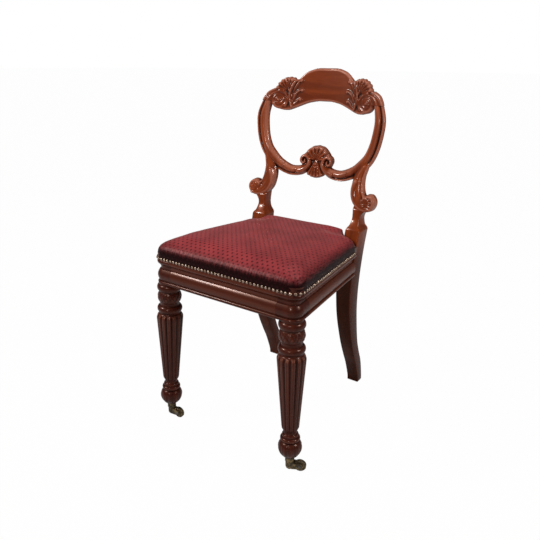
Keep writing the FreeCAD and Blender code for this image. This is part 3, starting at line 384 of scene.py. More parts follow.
@dataclass(frozen=True)
class WovenCloth:
    """Webbing and hessian under the seat."""

    name: str
    light: Colour
    dark: Colour
    threads: float

    def make(self) -> bpy.types.Material:
        """Build the material and return it."""
        material, bench, shader = _blank(self.name)
        place = bench.place()
        weave = bench.feed(bench.add("Group", node_tree=WEAVE), Vector=place, Threads=self.threads)
        slubs = bench.times(bench.noise(place, 120.0, 4.0), 0.5)
        share = bench.plus(bench.times(weave.outputs["Mask"], 0.6), slubs)
        bench.feed(shader, Base_Color=bench.mix(share, (*self.light, 1), (*self.dark, 1)), Roughness=0.9)
        _bump(bench, shader, weave.outputs["Height"], 0.5, 0.001)
        return material


@dataclass(frozen=True)
class AgedMetal:
    """Brass or steel with tarnish in patches."""

    name: str
    bright: Colour
    tarnish: Colour
    share: float
    roughness: float

    def make(self) -> bpy.types.Material:
        """Build the material and return it."""
        material, bench, shader = _blank(self.name)
        place = bench.place()
        patches = bench.noise(place, 110.0, 5.0, Roughness=0.65)
        worn = bench.ramp(patches, self.share - 0.12, self.share + 0.14)
        bench.feed(
            shader,
            Base_Color=bench.mix(worn, (*self.tarnish, 1), (*self.bright, 1)),
            Roughness=bench.minus(self.roughness + 0.22, bench.times(worn, 0.22)),
            Metallic=bench.plus(bench.times(worn, 0.35), 0.6),
        )
        _bump(bench, shader, bench.noise(place, 600.0, 2.0), 0.2, 0.0004)
        return material


# Meshes


def to_object(name: str, points: Array, faces: Sequence, relief: Array | None = None) -> bpy.types.Object:
    """Make a smooth mesh object of points in millimetres.

    Args:
        name: The object's name.
        points: An array of points, one per row.
        faces: Indices of each face's corners.
        relief: How far each point stands above (+) or below (-) its surroundings, for grime with painted
            shade in the hollows and painted highlights on the ridges.

    Returns:
        The new object, at the origin.
    """
    mesh = bpy.data.meshes.new(name)
    listed = faces.tolist() if isinstance(faces, np.ndarray) else faces
    mesh.from_pydata((np.asarray(points) * MM).tolist(), [], listed)
    mesh.validate()
    mesh.shade_smooth()
    mesh.set_sharp_from_angle(angle=math.radians(50))
    if relief is not None and len(relief) == len(mesh.vertices):
        layer = mesh.attributes.new("relief", "FLOAT", "POINT")
        layer.data.foreach_set("value", np.asarray(relief, np.float32))
    return place_object(name, mesh)


def place_object(name: str, data: bpy.types.ID) -> bpy.types.Object:
    """Put data into the scene as an object at the origin."""
    made = bpy.data.objects.new(name, data)
    bpy.context.scene.collection.objects.link(made)
    return made


def bake(piece: bpy.types.Object) -> None:
    """Bake an object's modifiers into its mesh."""
    graph = bpy.context.evaluated_depsgraph_get()
    fresh = bpy.data.meshes.new_from_object(piece.evaluated_get(graph))
    piece.modifiers.clear()
    old = piece.data
    piece.data = fresh
    bpy.data.meshes.remove(old)


def gathered(items: Sequence, name: str, width: int, kind: type = float) -> Array:
    """Read one value of every item of a mesh.

    Args:
        items: The mesh's vertices, loops or polygons.
        name: The value's name.
        width: How many numbers each item has.
        kind: The kind of number.

    Returns:
        One row per item, or one number per item where the width is 1.
    """
    values = np.zeros(len(items) * width, kind)
    items.foreach_get(name, values)
    return values.reshape(-1, width) if width > 1 else values


def ring_faces(rings: int, around: int) -> list[tuple[int, ...]]:
    """Quads between rings of points, with the first and last ring capped.

    Args:
        rings: How many rings there are.
        around: How many points each ring has.

    Returns:
        The faces, outwards for rings that rise and turn anticlockwise seen from above.
    """
    faces = []
    for low in range(0, (rings - 1) * around, around):
        for number in range(around):
            after = (number + 1) % around
            faces.append((low + number, low + after, low + around + after, low + around + number))
    top = (rings - 1) * around
    faces.append(tuple(reversed(range(around))))
    faces.append(tuple(range(top, top + around)))
    return faces


def _along(axis: int, part: slice, rest: slice = slice(None)) -> tuple[slice, ...]:
    """Index a grid by one slice along an axis and by another along the rest."""
    return tuple(part if number == axis else rest for number in range(3))


def surface_net(values: Array, origin: Array, step: float) -> tuple[Array, Array]:
    """Turn a grid of signed values, negative inside, into a closed mesh of quads.

    Args:
        values: The grid, indexed x, y, z, positive all round its edge.
        origin: The place of the grid's first point.
        step: The distance between the grid's points.

    Returns:
        The points and the quads.
    """
    inside = values < 0
    shape = np.array(values.shape) - 1
    total = np.zeros((*shape, 3), np.float32)
    count = np.zeros(shape, np.float32)
    before, after, middle = slice(0, -1), slice(1, None), slice(1, -1)
    for axis in range(3):
        first, last = values[_along(axis, before)], values[_along(axis, after)]
        crossed = inside[_along(axis, before)] != inside[_along(axis, after)]
        share = np.where(crossed, first / np.where(crossed, first - last, 1), 0).astype(np.float32)
        others = [number for number in range(3) if number != axis]
        for shift in np.ndindex(2, 2):
            pick = [slice(0, shape[axis])] * 3
            for other, offset in zip(others, shift):
                pick[other] = slice(offset, offset + shape[other])
            hit = crossed[tuple(pick)]
            count += hit
            total[..., axis] += np.where(hit, share[tuple(pick)], 0)
            for other, offset in zip(others, shift):
                total[..., other] += hit * offset
    used = count > 0
    number = np.full(shape, -1, np.int64)
    number[used] = np.arange(used.sum())
    points = (np.argwhere(used) + total[used] / count[used][:, None]) * step + origin
    quads = []
    for axis, (one, two) in enumerate(((1, 2), (2, 0), (0, 1))):
        was, now = inside[_along(axis, before, middle)], inside[_along(axis, after, middle)]
        steps = np.zeros((4, 3), int)
        steps[[1, 2], one] = steps[[2, 3], two] = -1
        for hit, order in ((was & ~now, 1), (~was & now, -1)):
            spots = np.argwhere(hit)
            spots[:, [one, two]] += 1
            ring = np.stack([number[tuple((spots + corner).T)] for corner in steps], 1)
            quads.append(ring[:, ::order])
    return points, np.concatenate(quads)


# The carved and moulded back, drawn as heights over its bowed surface


@dataclass(frozen=True)
class BackSurface:
    """The raked and bowed surface that the hoop, crest and cross rail follow."""

    rest: float = 43.0
    slope: float = 0.12
    bow: float = 35.0
    bow_height: float = 300.0
    bow_power: float = 0.55
    half_width: float = 190.0
    start: float = 495.0

    def depth(self, across: Array, up: Array) -> Array:
        """Depth of the surface at places across and up."""
        rise = np.maximum(up - self.start, 0.0)
        bow = self.bow * np.minimum(1.0, (rise / self.bow_height) ** self.bow_power)
        raked = POST_Y + self.rest + self.slope * (up - self.start)
        return raked + bow * (1 - (across / self.half_width) ** 2)


def dome(share: Array) -> Array:
    """Height of a half circle, at shares of its half width."""
    return np.sqrt(np.clip(1 - share**2, 0, 1))


def mirrored(half: Array) -> Array:
    """Close the right half of an outline with its mirror image."""
    return np.vstack([half, (half * [-1, 1])[::-1]])


def polyline(points: Sequence[tuple[float, ...]], count: int) -> Array:
    """A smooth line through points, sampled evenly by its parameter.

    Args:
        points: The points, each with any number of values.
        count: How many samples to return.

    Returns:
        The samples, one per row.
    """
    given = np.array(points, float)
    padded = np.vstack([2 * given[0] - given[1], given, 2 * given[-1] - given[-2]])
    samples = []
    for share in np.linspace(0, len(given) - 1.0001, count):
        index = int(share)
        t = share - index
        a, b, c, d = padded[index : index + 4]
        square, cube = 2 * a - 5 * b + 4 * c - d, 3 * b - a - 3 * c + d
        samples.append(0.5 * (2 * b + (c - a) * t + square * t**2 + cube * t**3))
    return np.array(samples)


def beside(x: Array, z: Array, line: Array) -> tuple[Array, Array]:
    """How far grid points lie from a line, and how wide it is there.

    Args:
        x: Across.
        z: Up.
        line: Samples of (x, z, half width).

    Returns:
        The signed distance, positive on the right of the way along, and the half width there.
    """
    best = np.full(x.shape, 1e9)
    side = np.zeros(x.shape)
    half = np.ones(x.shape)
    for (ax, az, ah), (bx, bz, bh) in zip(line[:-1], line[1:]):
        dx, dz = bx - ax, bz - az
        size = math.hypot(dx, dz) + 1e-9
        t = np.clip(((x - ax) * dx + (z - az) * dz) / size**2, 0, 1)
        px, pz = x - ax - t * dx, z - az - t * dz
        away = np.hypot(px, pz)
        nearer = away < best
        best = np.where(nearer, away, best)
        side = np.where(nearer, np.sign(px * dz - pz * dx + 1e-12), side)
        half = np.where(nearer, ah + t * (bh - ah), half)
    return best * side, half


def outline_distance(x: Array, z: Array, points: Array) -> Array:
    """Signed distance to a closed outline, negative inside."""
    best = np.full(x.shape, 1e9)
    turns = np.zeros(x.shape, bool)
    for (ax, az), (bx, bz) in zip(points, np.roll(points, -1, 0)):
        dx, dz = bx - ax, bz - az
        t = np.clip(((x - ax) * dx + (z - az) * dz) / (dx * dx + dz * dz + 1e-12), 0, 1)
        best = np.minimum(best, np.hypot(x - ax - t * dx, z - az - t * dz))
        cross = (az > z) != (bz > z)
        at = ax + (z - az) * dx / (dz if abs(dz) > 1e-12 else 1e-12)
        turns ^= cross & (x < at)
    return np.where(turns, -best, best)


@dataclass
class ReliefMap:
    """A map over the right half of the back: front height and distance to the edge of what is there."""

    x: Array
    z: Array
    front: Array = field(init=False)
    edge: Array = field(init=False)

    def __post_init__(self) -> None:
        """Start with nothing on the map."""
        self.front = np.full(self.x.shape, EMPTY)
        self.edge = np.full(self.x.shape, 60.0)

    def lay(self, height: Array, edge: Array) -> None:
        """Lay a form on the map, over what is there.

        Args:
            height: The form's front height, in millimetres over the surface.
            edge: Signed distance to its outline, negative inside.
        """
        self.front = np.maximum(self.front, np.where(edge < 0, height, EMPTY))
        self.edge = np.minimum(self.edge, edge)

    def ridge(self, points: Sequence[tuple[float, ...]], base: float, rise: float, count: int = 60) -> None:
        """Lay a rounded ridge along a line of (across, up, half width)."""
        across, half = beside(self.x, self.z, polyline(points, count))
        self.lay(base + rise * dome(across / half), np.abs(across) - half)

    def knob(self, x: float, z: float, radius: float, base: float, rise: float) -> None:
        """Lay a round knob."""
        away = np.hypot(self.x - x, self.z - z)
        self.lay(base + rise * dome(away / radius), away - radius)

    def fan(
        self,
        hub: tuple[float, float],
        turns: tuple[float, float],
        reach: tuple[float, float],
        ribs: int,
        base: float,
        rise: float,
        inner: float,
    ) -> None:
        """Lay a shell: ribs that open out from a hub between two angles.

        Args:
            hub: Where the ribs meet.
            turns: First and last angle in degrees, anticlockwise from +X.
            reach: How far the shell goes at the first and at the last angle.
            ribs: How many ribs there are.
            base: Height between the ribs.
            rise: How far the ribs stand up.
            inner: Where the ribs start.
        """
        dx, dz = self.x - hub[0], self.z - hub[1]
        away = np.hypot(dx, dz)
        middle = (turns[0] + turns[1]) / 2
        angle = (np.degrees(np.arctan2(dz, dx)) - middle + 180) % 360 - 180 + middle
        share = (angle - turns[0]) / (turns[1] - turns[0])
        local = share * ribs - np.floor(share * ribs) - 0.5
        limit = reach[0] + (reach[1] - reach[0]) * np.clip(share, 0, 1)
        limit = limit * (1 - 0.30 * local**2)
        swell = np.clip((away - inner) / 10.0, 0, 1) ** 0.5
        fall = np.clip((limit - away) / 4.0, 0, 1) ** 0.5
        height = base + rise * dome(2 * local) * swell * (0.4 + 0.6 * fall)
        self.lay(height, np.maximum(away - limit, np.maximum(-share, share - 1) * 60))

    def volute(
        self,
        centre: tuple[float, float],
        radius: float,
        pitch: float,
        start: float,
        base: float,
        crown: float,
        rise: float,
        eye: float,
    ) -> None:
        """Lay a scroll that winds in anticlockwise to an eye.

        Args:
            centre: The eye's place.
            radius: How far the scroll reaches.
            pitch: Distance from one turn to the next.
            start: Angle in degrees at which the outer turn ends.
            base: Height of the hollow between the turns at the edge.
            crown: How much higher the middle stands.
            rise: How far the turns stand up.
            eye: Radius of the eye.
        """
        dx, dz = self.x - centre[0], self.z - centre[1]
        away = np.hypot(dx, dz)
        phase = away / pitch + ((np.degrees(np.arctan2(dz, dx)) - start) % 360) / 360
        turn = np.abs(phase - np.floor(phase) - 0.5) * 2
        groove = np.sqrt(np.clip(1 - turn**2.2, 0, 1))
        height = base + crown * (1 - (away / radius) ** 1.5) + rise * groove
        button = base + crown + rise * 1.25 * dome(away / eye)
        self.lay(np.where(away < eye, button, height), away - radius)


@dataclass
class CarvedBack:
    """The crest rail, the cross rail and both posts with their moulded hoop."""

    surface: BackSurface = field(default_factory=BackSurface)
    joint: float = 798.0
    cross_half: float = 97.0
    back: float = -12.5
    step: float = 1.0
    bevel: float = 6.0
    face: float = 8.0
    soft_reach: int = 7
    full_relief: float = 2.2

    def crest_outline(self) -> Array:
        """The crest's outline."""
        top = [(0, 883), (28, 883), (45, 879.3), (60, 873), (72, 863.5), (82, 854)]
        shell = [(82, 854), (95, 854.5), (108, 855), (118, 853.5), (126, 849), (132, 843), (136, 837)]
        shell += [(141, 832), (147, 830.5)]
        shoulder = [(147, 832), (158, 827), (168, 820), (176, 808), (180.5, 797.5)]
        under = [(154, 797.5), (149, 787), (140, 782), (130, 776.5), (120, 773.8), (112, 773), (100, 774.5)]
        under += [(90, 778), (80, 782), (70, 786), (60, 790), (50, 793.5), (40, 796), (20, 799.3), (0, 800)]
        lines = ((top, 30), (shell, 30), (shoulder, 20), (under, 50))
        return mirrored(np.vstack([polyline(points, count) for points, count in lines]))

    def hoop(self, relief: ReliefMap) -> None:
        """Lay the moulded hoop: a full round, a groove and an outer bead."""
        line = [(128, 824.5, 5.0), (143, 821.5, 7.5), (154, 815.5, 10.0), (162, 805.5, 12.2)]
        line += [(167.5, 790, 14.0), (174, 765, 16.0), (174, 740, 16.5), (168, 703, 16.5), (156, 672, 16.5)]
        line += [(138, 650, 16.5), (120, 634, 16), (102, 624.5, 15.2), (86, 618.5, 14.5), (70, 616, 14)]
        line += [(50, 618.5, 13.5), (38, 624, 13.0), (26, 632, 12.0)]
        across, half = beside(relief.x, relief.z, polyline(line, 110))
        share = -across / half
        rounded, bead = dome((share + 0.28) / 0.74), dome((share - 0.74) / 0.27)
        relief.lay(np.maximum(13.0 * rounded, 7.0 * bead) - 5.0, np.abs(across) - half)

    def crest(self, relief: ReliefMap) -> None:
        """Lay the crest's panel, shells, scrolls, leaves and knobs."""
        edge = outline_distance(relief.x, relief.z, self.crest_outline())
        eased = dome(1 - np.clip(-edge / 4.0, 0, 1))
        relief.lay(-1.5 + 4.0 * eased, edge)
        relief.lay(np.where(np.abs(relief.x) > 84, 3.4, EMPTY) * eased, np.maximum(edge, 82 - relief.x))
        relief.fan((104, 824), (6, 116), (40, 36), 6, 1.6, 6.6, 4.0)
        relief.volute((129, 801), 24.5, 8.6, 150, 3.0, 4.0, 3.6, 4.6)
        band = [(130, 825, 5.6), (117, 820.5, 5.2), (108, 810, 4.6), (106, 797, 4.0), (112, 785, 3.2)]
        stem = [(93, 783, 3.0), (97, 795, 4.4), (101, 810, 4.2), (98, 828, 4.4), (91, 843, 4.0)]
        stem.append((84, 853, 2.0))
        leaf = [(94, 788, 2.4), (90, 804, 3.8), (84, 818, 3.8), (72, 827, 2.6)]
        low_leaf = [(94, 784, 2.2), (86, 792, 3.4), (79, 799, 3.2), (74, 803, 2.2)]
        high_leaf = [(96, 806, 2.0), (88, 830, 3.4), (80, 844, 3.4), (74, 850, 2.2)]
        relief.ridge(band, 2.0, 6.5)
        relief.ridge(stem, 2.5, 6.6)
        relief.ridge(leaf, 2.2, 4.6)
        relief.ridge(low_leaf, 2.0, 4.2)
        relief.ridge(high_leaf, 2.2, 4.4)
        for x, z, radius in ((70.5, 851, 4.8), (67, 826.5, 4.6), (70.5, 803, 4.8)):
            relief.knob(x, z, radius, 1.5, 6.0)
        for x, z, radius in ((79, 847, 2.6), (76.5, 826.5, 2.4), (79, 800, 2.6)):
            relief.knob(x, z, radius, 1.8, 3.2)
        relief.knob(103, 826, 4.6, 4.0, 4.0)

    def motif(self, relief: ReliefMap) -> None:
        """Lay the carved middle of the cross rail: a shell between two scrolls over a hanging leaf."""
        half = [(0, 688), (18, 685), (33, 673), (42, 662), (48, 652), (48, 640), (40, 628), (28, 613)]
        half += [(14, 605), (0, 602)]
        edge = outline_distance(relief.x, relief.z, mirrored(polyline(half, 50)))
        relief.lay(np.full(relief.x.shape, 1.5), edge)
        relief.fan((0, 648), (10, 170), (41, 41), 7, 3.5, 6.0, 6.0)
        relief.fan((0, 654), (238, 302), (50, 50), 5, 2.0, 5.0, 4.0)
        curl = [(50, 619.5, 9.5), (36, 624, 9.0), (26, 632, 8.0), (21, 643, 7.2), (24, 655, 6.4)]
        curl += [(33, 660, 5.8), (43, 656.5, 5.2), (46, 648, 4.6), (41, 640.5, 4.0), (34, 643, 3.6)]
        relief.ridge(curl + [(34, 649, 3.4)], 2.0, 8.5, 90)
        for z, radius in ((640, 3.6), (631.5, 3.2), (624, 2.8)):
            relief.knob(0, z, radius, 4.5, 5.0)

    def scroll(self, relief: ReliefMap) -> None:
        """Lay the stem under the hoop and the scroll with its shell boss."""
        stem = [(153, 664, 9.0), (146, 646, 12.0), (138, 628, 15.5), (135, 606, 18.0), (138.5, 584, 19.0)]
        stem += [(149, 566, 18.0), (160, 556, 16.0), (170, 553, 12.0)]
        across, half = beside(relief.x, relief.z, polyline(stem, 70))
        share = across / half
        lift = np.interp(relief.z, [540, 565, 613, 650, 670], [16.5, 16.0, 12.0, 6.5, 2.0])
        crown, lip = dome((share - 0.12) / 0.8), dome((share + 0.84) / 0.17)
        relief.lay(lift - 8.0 + np.maximum(8.0 * crown, 5.5 * lip), np.abs(across) - half)
        roll = [(131, 612, 8.0), (128, 594, 9.5), (131, 576, 10.5), (140, 562, 11.0), (153, 552.5, 10.5)]
        roll += [(167, 549, 9.5), (180, 551, 8.5), (187.5, 560, 7.6), (188, 571, 6.6), (181, 579.5, 5.6)]
        relief.ridge(roll + [(171, 580, 4.6)], 6.5, 10.5, 90)
        away = np.hypot(relief.x - 172, relief.z - 563)
        relief.lay(12.5 + 3.5 * dome(away / 19), away - 18.5)
        relief.fan((163, 556), (-32, 104), (26, 25), 6, 13.0, 5.2, 4.0)
        relief.knob(163, 556, 4.6, 14.5, 3.8)

    def solid(self, box: tuple[float, ...], forms: Sequence[Callable], keep: Callable) -> Piece:
        """Mesh what is drawn inside a box of the map.

        Args:
            box: Lowest x, highest x, lowest z and highest z.
            forms: What lays the forms on the map, in order.
            keep: Signed distance of the piece's own share of the back, negative inside.

        Returns:
            Points, quads and relief.
        """
        step = self.step
        xs = np.arange(box[0], box[1] + step, step)
        zs = np.arange(box[2], box[3] + step, step)
        ds = np.arange(self.back - 3, 22.0, step)
        x, z = np.meshgrid(xs, zs, indexing="ij")
        relief = ReliefMap(np.abs(x), z)
        for form in forms:
            form(relief)
        edge = np.maximum(relief.edge, keep(x, z))
        front = self._blur(self._blur(relief.front))
        bevel = self.back + (1 - np.clip(-edge / self.bevel, 0, 1)) ** 2 * self.bevel
        d = ds[None, :, None]
        values = np.maximum(d - front[:, None, :], edge[:, None, :])
        values = np.maximum(values, bevel[:, None, :] - d).astype(np.float32)
        for axis in range(3):
            sides = np.moveaxis(values, axis, 0)
            sides[0], sides[-1] = 1.0, 1.0
        points, quads = surface_net(values, np.array([xs[0], ds[0], zs[0]]), step)
        column = np.clip(((points[:, 0] - xs[0]) / step).round().astype(int), 0, len(xs) - 1)
        row = np.clip(((points[:, 2] - zs[0]) / step).round().astype(int), 0, len(zs) - 1)
        level = (front - self._soften(front, self.soft_reach))[column, row]
        shade = np.where(points[:, 1] > self.back + self.face, level / self.full_relief, 0.0)
        points[:, 1] = self.surface.depth(points[:, 0], points[:, 2]) - points[:, 1]
        return points, quads, shade

    @staticmethod
    def _blur(values: Array) -> Array:
        """A small blur that keeps the forms but loses their steps."""
        wide = np.pad(values, 1, mode="edge")
        rows = (wide[:-2] + 2 * wide[1:-1] + wide[2:]) / 4
        return (rows[:, :-2] + 2 * rows[:, 1:-1] + rows[:, 2:]) / 4

    @staticmethod
    def _soften(values: Array, reach: int) -> Array:
        """A wide blur, to tell hollows from ridges."""
        out = values
        for axis in (0, 1):
            wide = np.pad(out, [(reach, reach) if a == axis else (0, 0) for a in (0, 1)], mode="edge")
            total = np.cumsum(wide, axis)
            total = np.concatenate([np.zeros_like(np.take(total, [0], axis)), total], axis)
            size = 2 * reach + 1
            high = np.take(total, range(size, total.shape[axis]), axis)
            low = np.take(total, range(0, total.shape[axis] - size), axis)
            out = (high - low) / size
        return out

    def crest_rail(self) -> Piece:
        """Mesh the crest rail."""

        def keep(x: Array, z: Array) -> Array:
            """Keep what is above the joints with the posts."""
            return np.where(np.abs(x) > 150, self.joint - z, -60.0)

        return self.solid((-195, 195, 768, 888), (self.crest, self.hoop), keep)

    def cross_rail(self) -> Piece:
        """Mesh the cross rail."""
        forms = (self.hoop, self.motif)
        return self.solid((-104, 104, 594, 696), forms, lambda x, z: np.abs(x) - self.cross_half)

    def post(self) -> Piece:
        """Mesh the right post above its waist."""

        def keep(x: Array, z: Array) -> Array:
            """Keep what is under the crest and beside the cross rail."""
            return np.maximum(z - self.joint, self.cross_half - np.abs(x))

        return self.solid((92, 198, 528, 801), (self.scroll, self.hoop), keep)


@dataclass
class RearPost:
    """The swept rear leg and the square post above it, up to the waist."""

    round_edge: float = 2.2
    corner_turns: tuple[int, ...] = (0, 30, 60, 90)
    samples: int = 300

    def levels(self) -> tuple[Array, ...]:
        """Heights, inner and outer edge, and front and back face of the leg at each height."""
        spans = ((0.4, 488, 110), (489, 498, 10), (499, 559, 44))
        z = np.concatenate([np.linspace(*span) for span in spans])
        inner = [(0, 125), (100, 124.5), (300, 122), (330, 122), (440, 126), (488, 128), (489, 128)]
        inner += [(497, 130), (505, 135), (519, 137.5), (535, 137.2), (547, 136), (560, 134)]
        outer = [(0, 159), (100, 160), (300, 163), (330, 163.5), (440, 166.5), (488, 168), (489, 168)]
        outer += [(496, 166), (503, 160.5), (519, 158.2), (530, 160), (538, 165), (545, 170), (560, 172)]
        front = [(0, 102), (20, 98.5), (70, 79), (110, 59), (165, 35), (248, 8.5), (320, -1.5), (370, -0.5)]
        front += [(440, 6.5), (489, 18), (495, 19.5), (517, 33), (535, 36.5), (545, 38.5), (552, 46)]
        front.append((560, 56))
        back = [(0, 129), (20, 126), (70, 113), (115, 92), (161, 74), (243, 56), (300, 50), (370, 52)]
        back += [(440, 61), (489, 72), (496, 72), (520, 69), (545, 71), (560, 71)]
        lines = (polyline(points, self.samples) for points in (inner, outer, front, back))
        return z, *(np.interp(z, *line.T) for line in lines)

    def mesh(self) -> Piece:
        """Points, faces and relief of the right leg."""
        edge = self.round_edge
        points = []
        for z, x0, x1, front, back in zip(*self.levels()):
            left, right = x0 + edge, x1 - edge
            near, far = POST_Y + front + edge, POST_Y + back - edge
            corners = ((right, far), (left, far), (left, near), (right, near))
            for number, (cx, cy) in enumerate(corners):
                for turn in self.corner_turns:
                    angle = math.radians(90 * number + turn)
                    points.append((cx + edge * math.cos(angle), cy + edge * math.sin(angle), z))
        around = 4 * len(self.corner_turns)
        return np.array(points), ring_faces(len(points) // around, around), np.zeros(len(points))


def joined(name: str, parts: Sequence[Piece], mirror: bool = False) -> bpy.types.Object:
    """Make one object of several meshes, mirrored to the chair's left if asked.

    Args:
        name: The object's name.
        parts: Points, faces and relief of each mesh.
        mirror: Whether to mirror the whole.

    Returns:
        The object.
    """
    points, faces, shades = [], [], []
    start = 0
    for spots, quads, shade in parts:
        for face in quads:
            faces.append([int(index) + start for index in (reversed(face) if mirror else face)])
        points.append(spots * [-1, 1, 1] if mirror else spots)
        shades.append(shade)
        start += len(spots)
    return to_object(name, np.vstack(points), faces, np.concatenate(shades))


# Front legs and the seat


@dataclass
class SeatPlan:
    """The level plan that the front legs and the seat share, and how both lean back."""

    front_y: float = -237.3
    nail_z: float = 454.3
    corner_x: float = 179.355
    corner_radius: float = 27.0
    taper: float = 6.3
    rake: float = 1.8

    @property
    def corner_y(self) -> float:
        """Depth of the front corners' centre."""
        return self.front_y + self.corner_radius

    def lean(self, points: Array) -> Array:
        """Lean points of the level seat back with the seat."""
        turn = math.radians(-self.rake)
        y, z = points[:, 1] - self.front_y, points[:, 2] - self.nail_z
        out = points.copy()
        out[:, 1] = self.front_y + y * math.cos(turn) - z * math.sin(turn)
        out[:, 2] = self.nail_z + y * math.sin(turn) + z * math.cos(turn)
        return out


@dataclass
class FrontLeg(SeatPlan):
    """The moulded head and the turned, reeded and carved leg of one front corner."""

    splay: float = 1.5
    rail_bottom: float = 388.8
    reeds: int = 14
    around: int = 224

    def profile(self) -> Array:
        """(height, radius) down the leg's turned outline, without reeds or carving."""
        turns = [
            ((391, 26), (384.8, 26), 0),
            ((384.8, 27), (367.8, 27), 3.4),
            ((367, 25.4), (364.8, 25.4), 0),
            ((364.8, 25.2), (336.8, 25.2), 4.8),
            ((336.8, 24.6), (328, 24.4), -1.0),
            ((328, 26), (310, 26), 5.0),
            ((310, 26.4), (304.5, 28.8), -0.8),
            ((304.5, 28.8), (296, 27.2), 0),
            ((296, 27.2), (118, 14.8), 0),
            ((118, 14.8), (108, 15.4), 0),
            ((108, 15.4), (103.5, 16.6), -0.8),
            ((103.5, 17.0), (96.5, 18.6), 1.6),
            ((96.5, 18.6), (95.4, 19.2), 0),
            ((95.4, 20.0), (85.3, 20.8), 3.0),
            ((85.3, 20.0), (83.5, 19.6), 0),
            ((83.5, 20.4), (39, 12.2), 11.6),
            ((39, 12.2), (38.2, 12.0), 0),
        ]
        rows = []
        for (z0, r0), (z1, r1), bulge in turns:
            count = max(2, int(abs(z0 - z1) / 0.9)) if bulge else max(2, int(abs(z0 - z1) / 3.0))
            for step in range(count + 1):
                t = step / count
                z, r = z0 + (z1 - z0) * t, r0 + (r1 - r0) * t
                if bulge:
                    span = math.hypot(z1 - z0, r1 - r0)
                    big = (span / 2) ** 2 / (2 * abs(bulge)) + abs(bulge) / 2
                    off = (t - 0.5) * span
                    lift = math.sqrt(max(big**2 - off**2, 0)) - (big - abs(bulge))
                    r += math.copysign(lift, bulge)
                rows.append((z, r))
        return np.array(rows)

    def reach(self, z: float, plain: float, angle: Array) -> Array:
        """The leg's radius round one height, with reeds, leaves and lobes.

        Args:
            z: The height.
            plain: The turned radius there.
            angle: Angles round the leg.

        Returns:
            The radius at each angle.
        """
        wave = angle * self.reeds / (2 * math.pi)
        local = np.abs(wave - np.floor(wave) - 0.5) * 2
        if 108 < z < 304.4:
            wide, half = 33.5, 7.3
            heights = [112, 116, 119, 292.4, 296, 299, 302.5, 304.4]
            crest = np.interp(z, heights, [17.0, 19.2, 20.8, 33.5, 33.4, 32.6, 30.6, 28.6])
            reed = half * crest / wide
            centre = crest - reed
            turn = (1 - local) * math.pi / self.reeds
            reach = centre * np.cos(turn) + np.sqrt(np.maximum(reed**2 - (centre * np.sin(turn)) ** 2, 0))
            return np.maximum(plain, reach - 0.9 * local**6)
        if 337.5 < z < 364:
            rise = (z - 337.5) / 26.5
            swell = math.sin(math.pi * rise) ** 0.6
            leaf = np.abs(((angle * 12 / (2 * math.pi) + rise * 1.1) % 1) - 0.5) * 2
            vein = np.abs(((angle * 24 / (2 * math.pi) - rise * 1.6) % 1) - 0.5) * 2
            return plain - swell * (1.5 * leaf**2.5 + 0.8 * vein**3)
        if 41 < z < 83:
            rise = (z - 41) / 42
            swell = math.sin(math.pi * rise) ** 0.7
            lobe = np.abs(((angle * 10 / (2 * math.pi)) % 1) - 0.5) * 2
            vein = np.abs(((angle * 20 / (2 * math.pi) + 0.25) % 1) - 0.5) * 2
            tip = np.interp(rise, [0, 0.35, 0.8, 1.0], [1.0, 0.9, 0.55, 0.2])
            return plain - swell * (2.0 * lobe**3 * tip + 0.8 * vein**4 * (1 - abs(rise - 0.55)))
        return np.full(angle.shape, plain)

    def shaft(self) -> Piece:
        """Points, faces and relief of the turned leg."""
        rows = self.profile()[::-1]
        angle = np.linspace(0, 2 * math.pi, self.around, endpoint=False)
        points, shades = [], []
        for z, plain in rows:
            reach = self.reach(z, plain, angle)
            level = np.full(self.around, z)
            points.append(np.stack([reach * np.cos(angle), reach * np.sin(angle), level], 1))
            shades.append((reach - reach.mean()) / 1.6 if reach.std() > 0.02 else np.zeros(self.around))
        spots = np.vstack(points)
        rim = rows[:, 1]
        dips = rim - np.convolve(np.pad(rim, 6, mode="edge"), np.ones(13) / 13, mode="valid")
        shade = np.concatenate(shades) + np.repeat(np.clip(dips / 3.0, -1, 1), self.around)
        turn = math.radians(-self.splay)
        x, z = spots[:, 0].copy(), spots[:, 2] - self.rail_bottom
        spots[:, 0] = self.corner_x + x * math.cos(turn) + z * math.sin(turn)
        spots[:, 2] = self.rail_bottom - x * math.sin(turn) + z * math.cos(turn)
        spots[:, 1] += self.corner_y
        return self.lean(spots), ring_faces(len(rows), self.around), shade

    def section(self) -> Array:
        """(inward, height) round the moulded section of the head, from its inner bottom corner."""
        bottom = self.rail_bottom
        rows = [(52.0, bottom), (27.0, bottom)]
        rows += [(1.6 - 1.6 * math.sin(math.pi * t), bottom + 7.0 * t) for t in np.linspace(0.06, 0.94, 8)]
        rows += [(3.9, bottom + 7.1), (3.9, bottom + 7.9)]
        torus = np.linspace(0.02, 0.98, 22)
        rows += [(3.9 + 2.0 * t - 4.9 * math.sin(math.pi * t), bottom + 7.9 + 29 * t) for t in torus]
        rows += [(8.5, bottom + 37.0), (8.5, bottom + 37.8)]
        for t in np.linspace(0.05, 1, 10):
            rows.append((8.5 - 6.2 * t**1.6 + 1.2 * math.sin(math.pi * t), bottom + 37.8 + 13.7 * t))
        bead = np.linspace(0.04, 0.96, 8)
        rows += [(1.1 - 1.1 * math.sin(math.pi * t), bottom + 52.5 + 8.0 * t) for t in bead]
        rows += [(1.5, bottom + 60.6), (1.5, bottom + 78.4), (27.0, bottom + 78.4), (52.0, bottom + 78.4)]
        return np.array(rows)

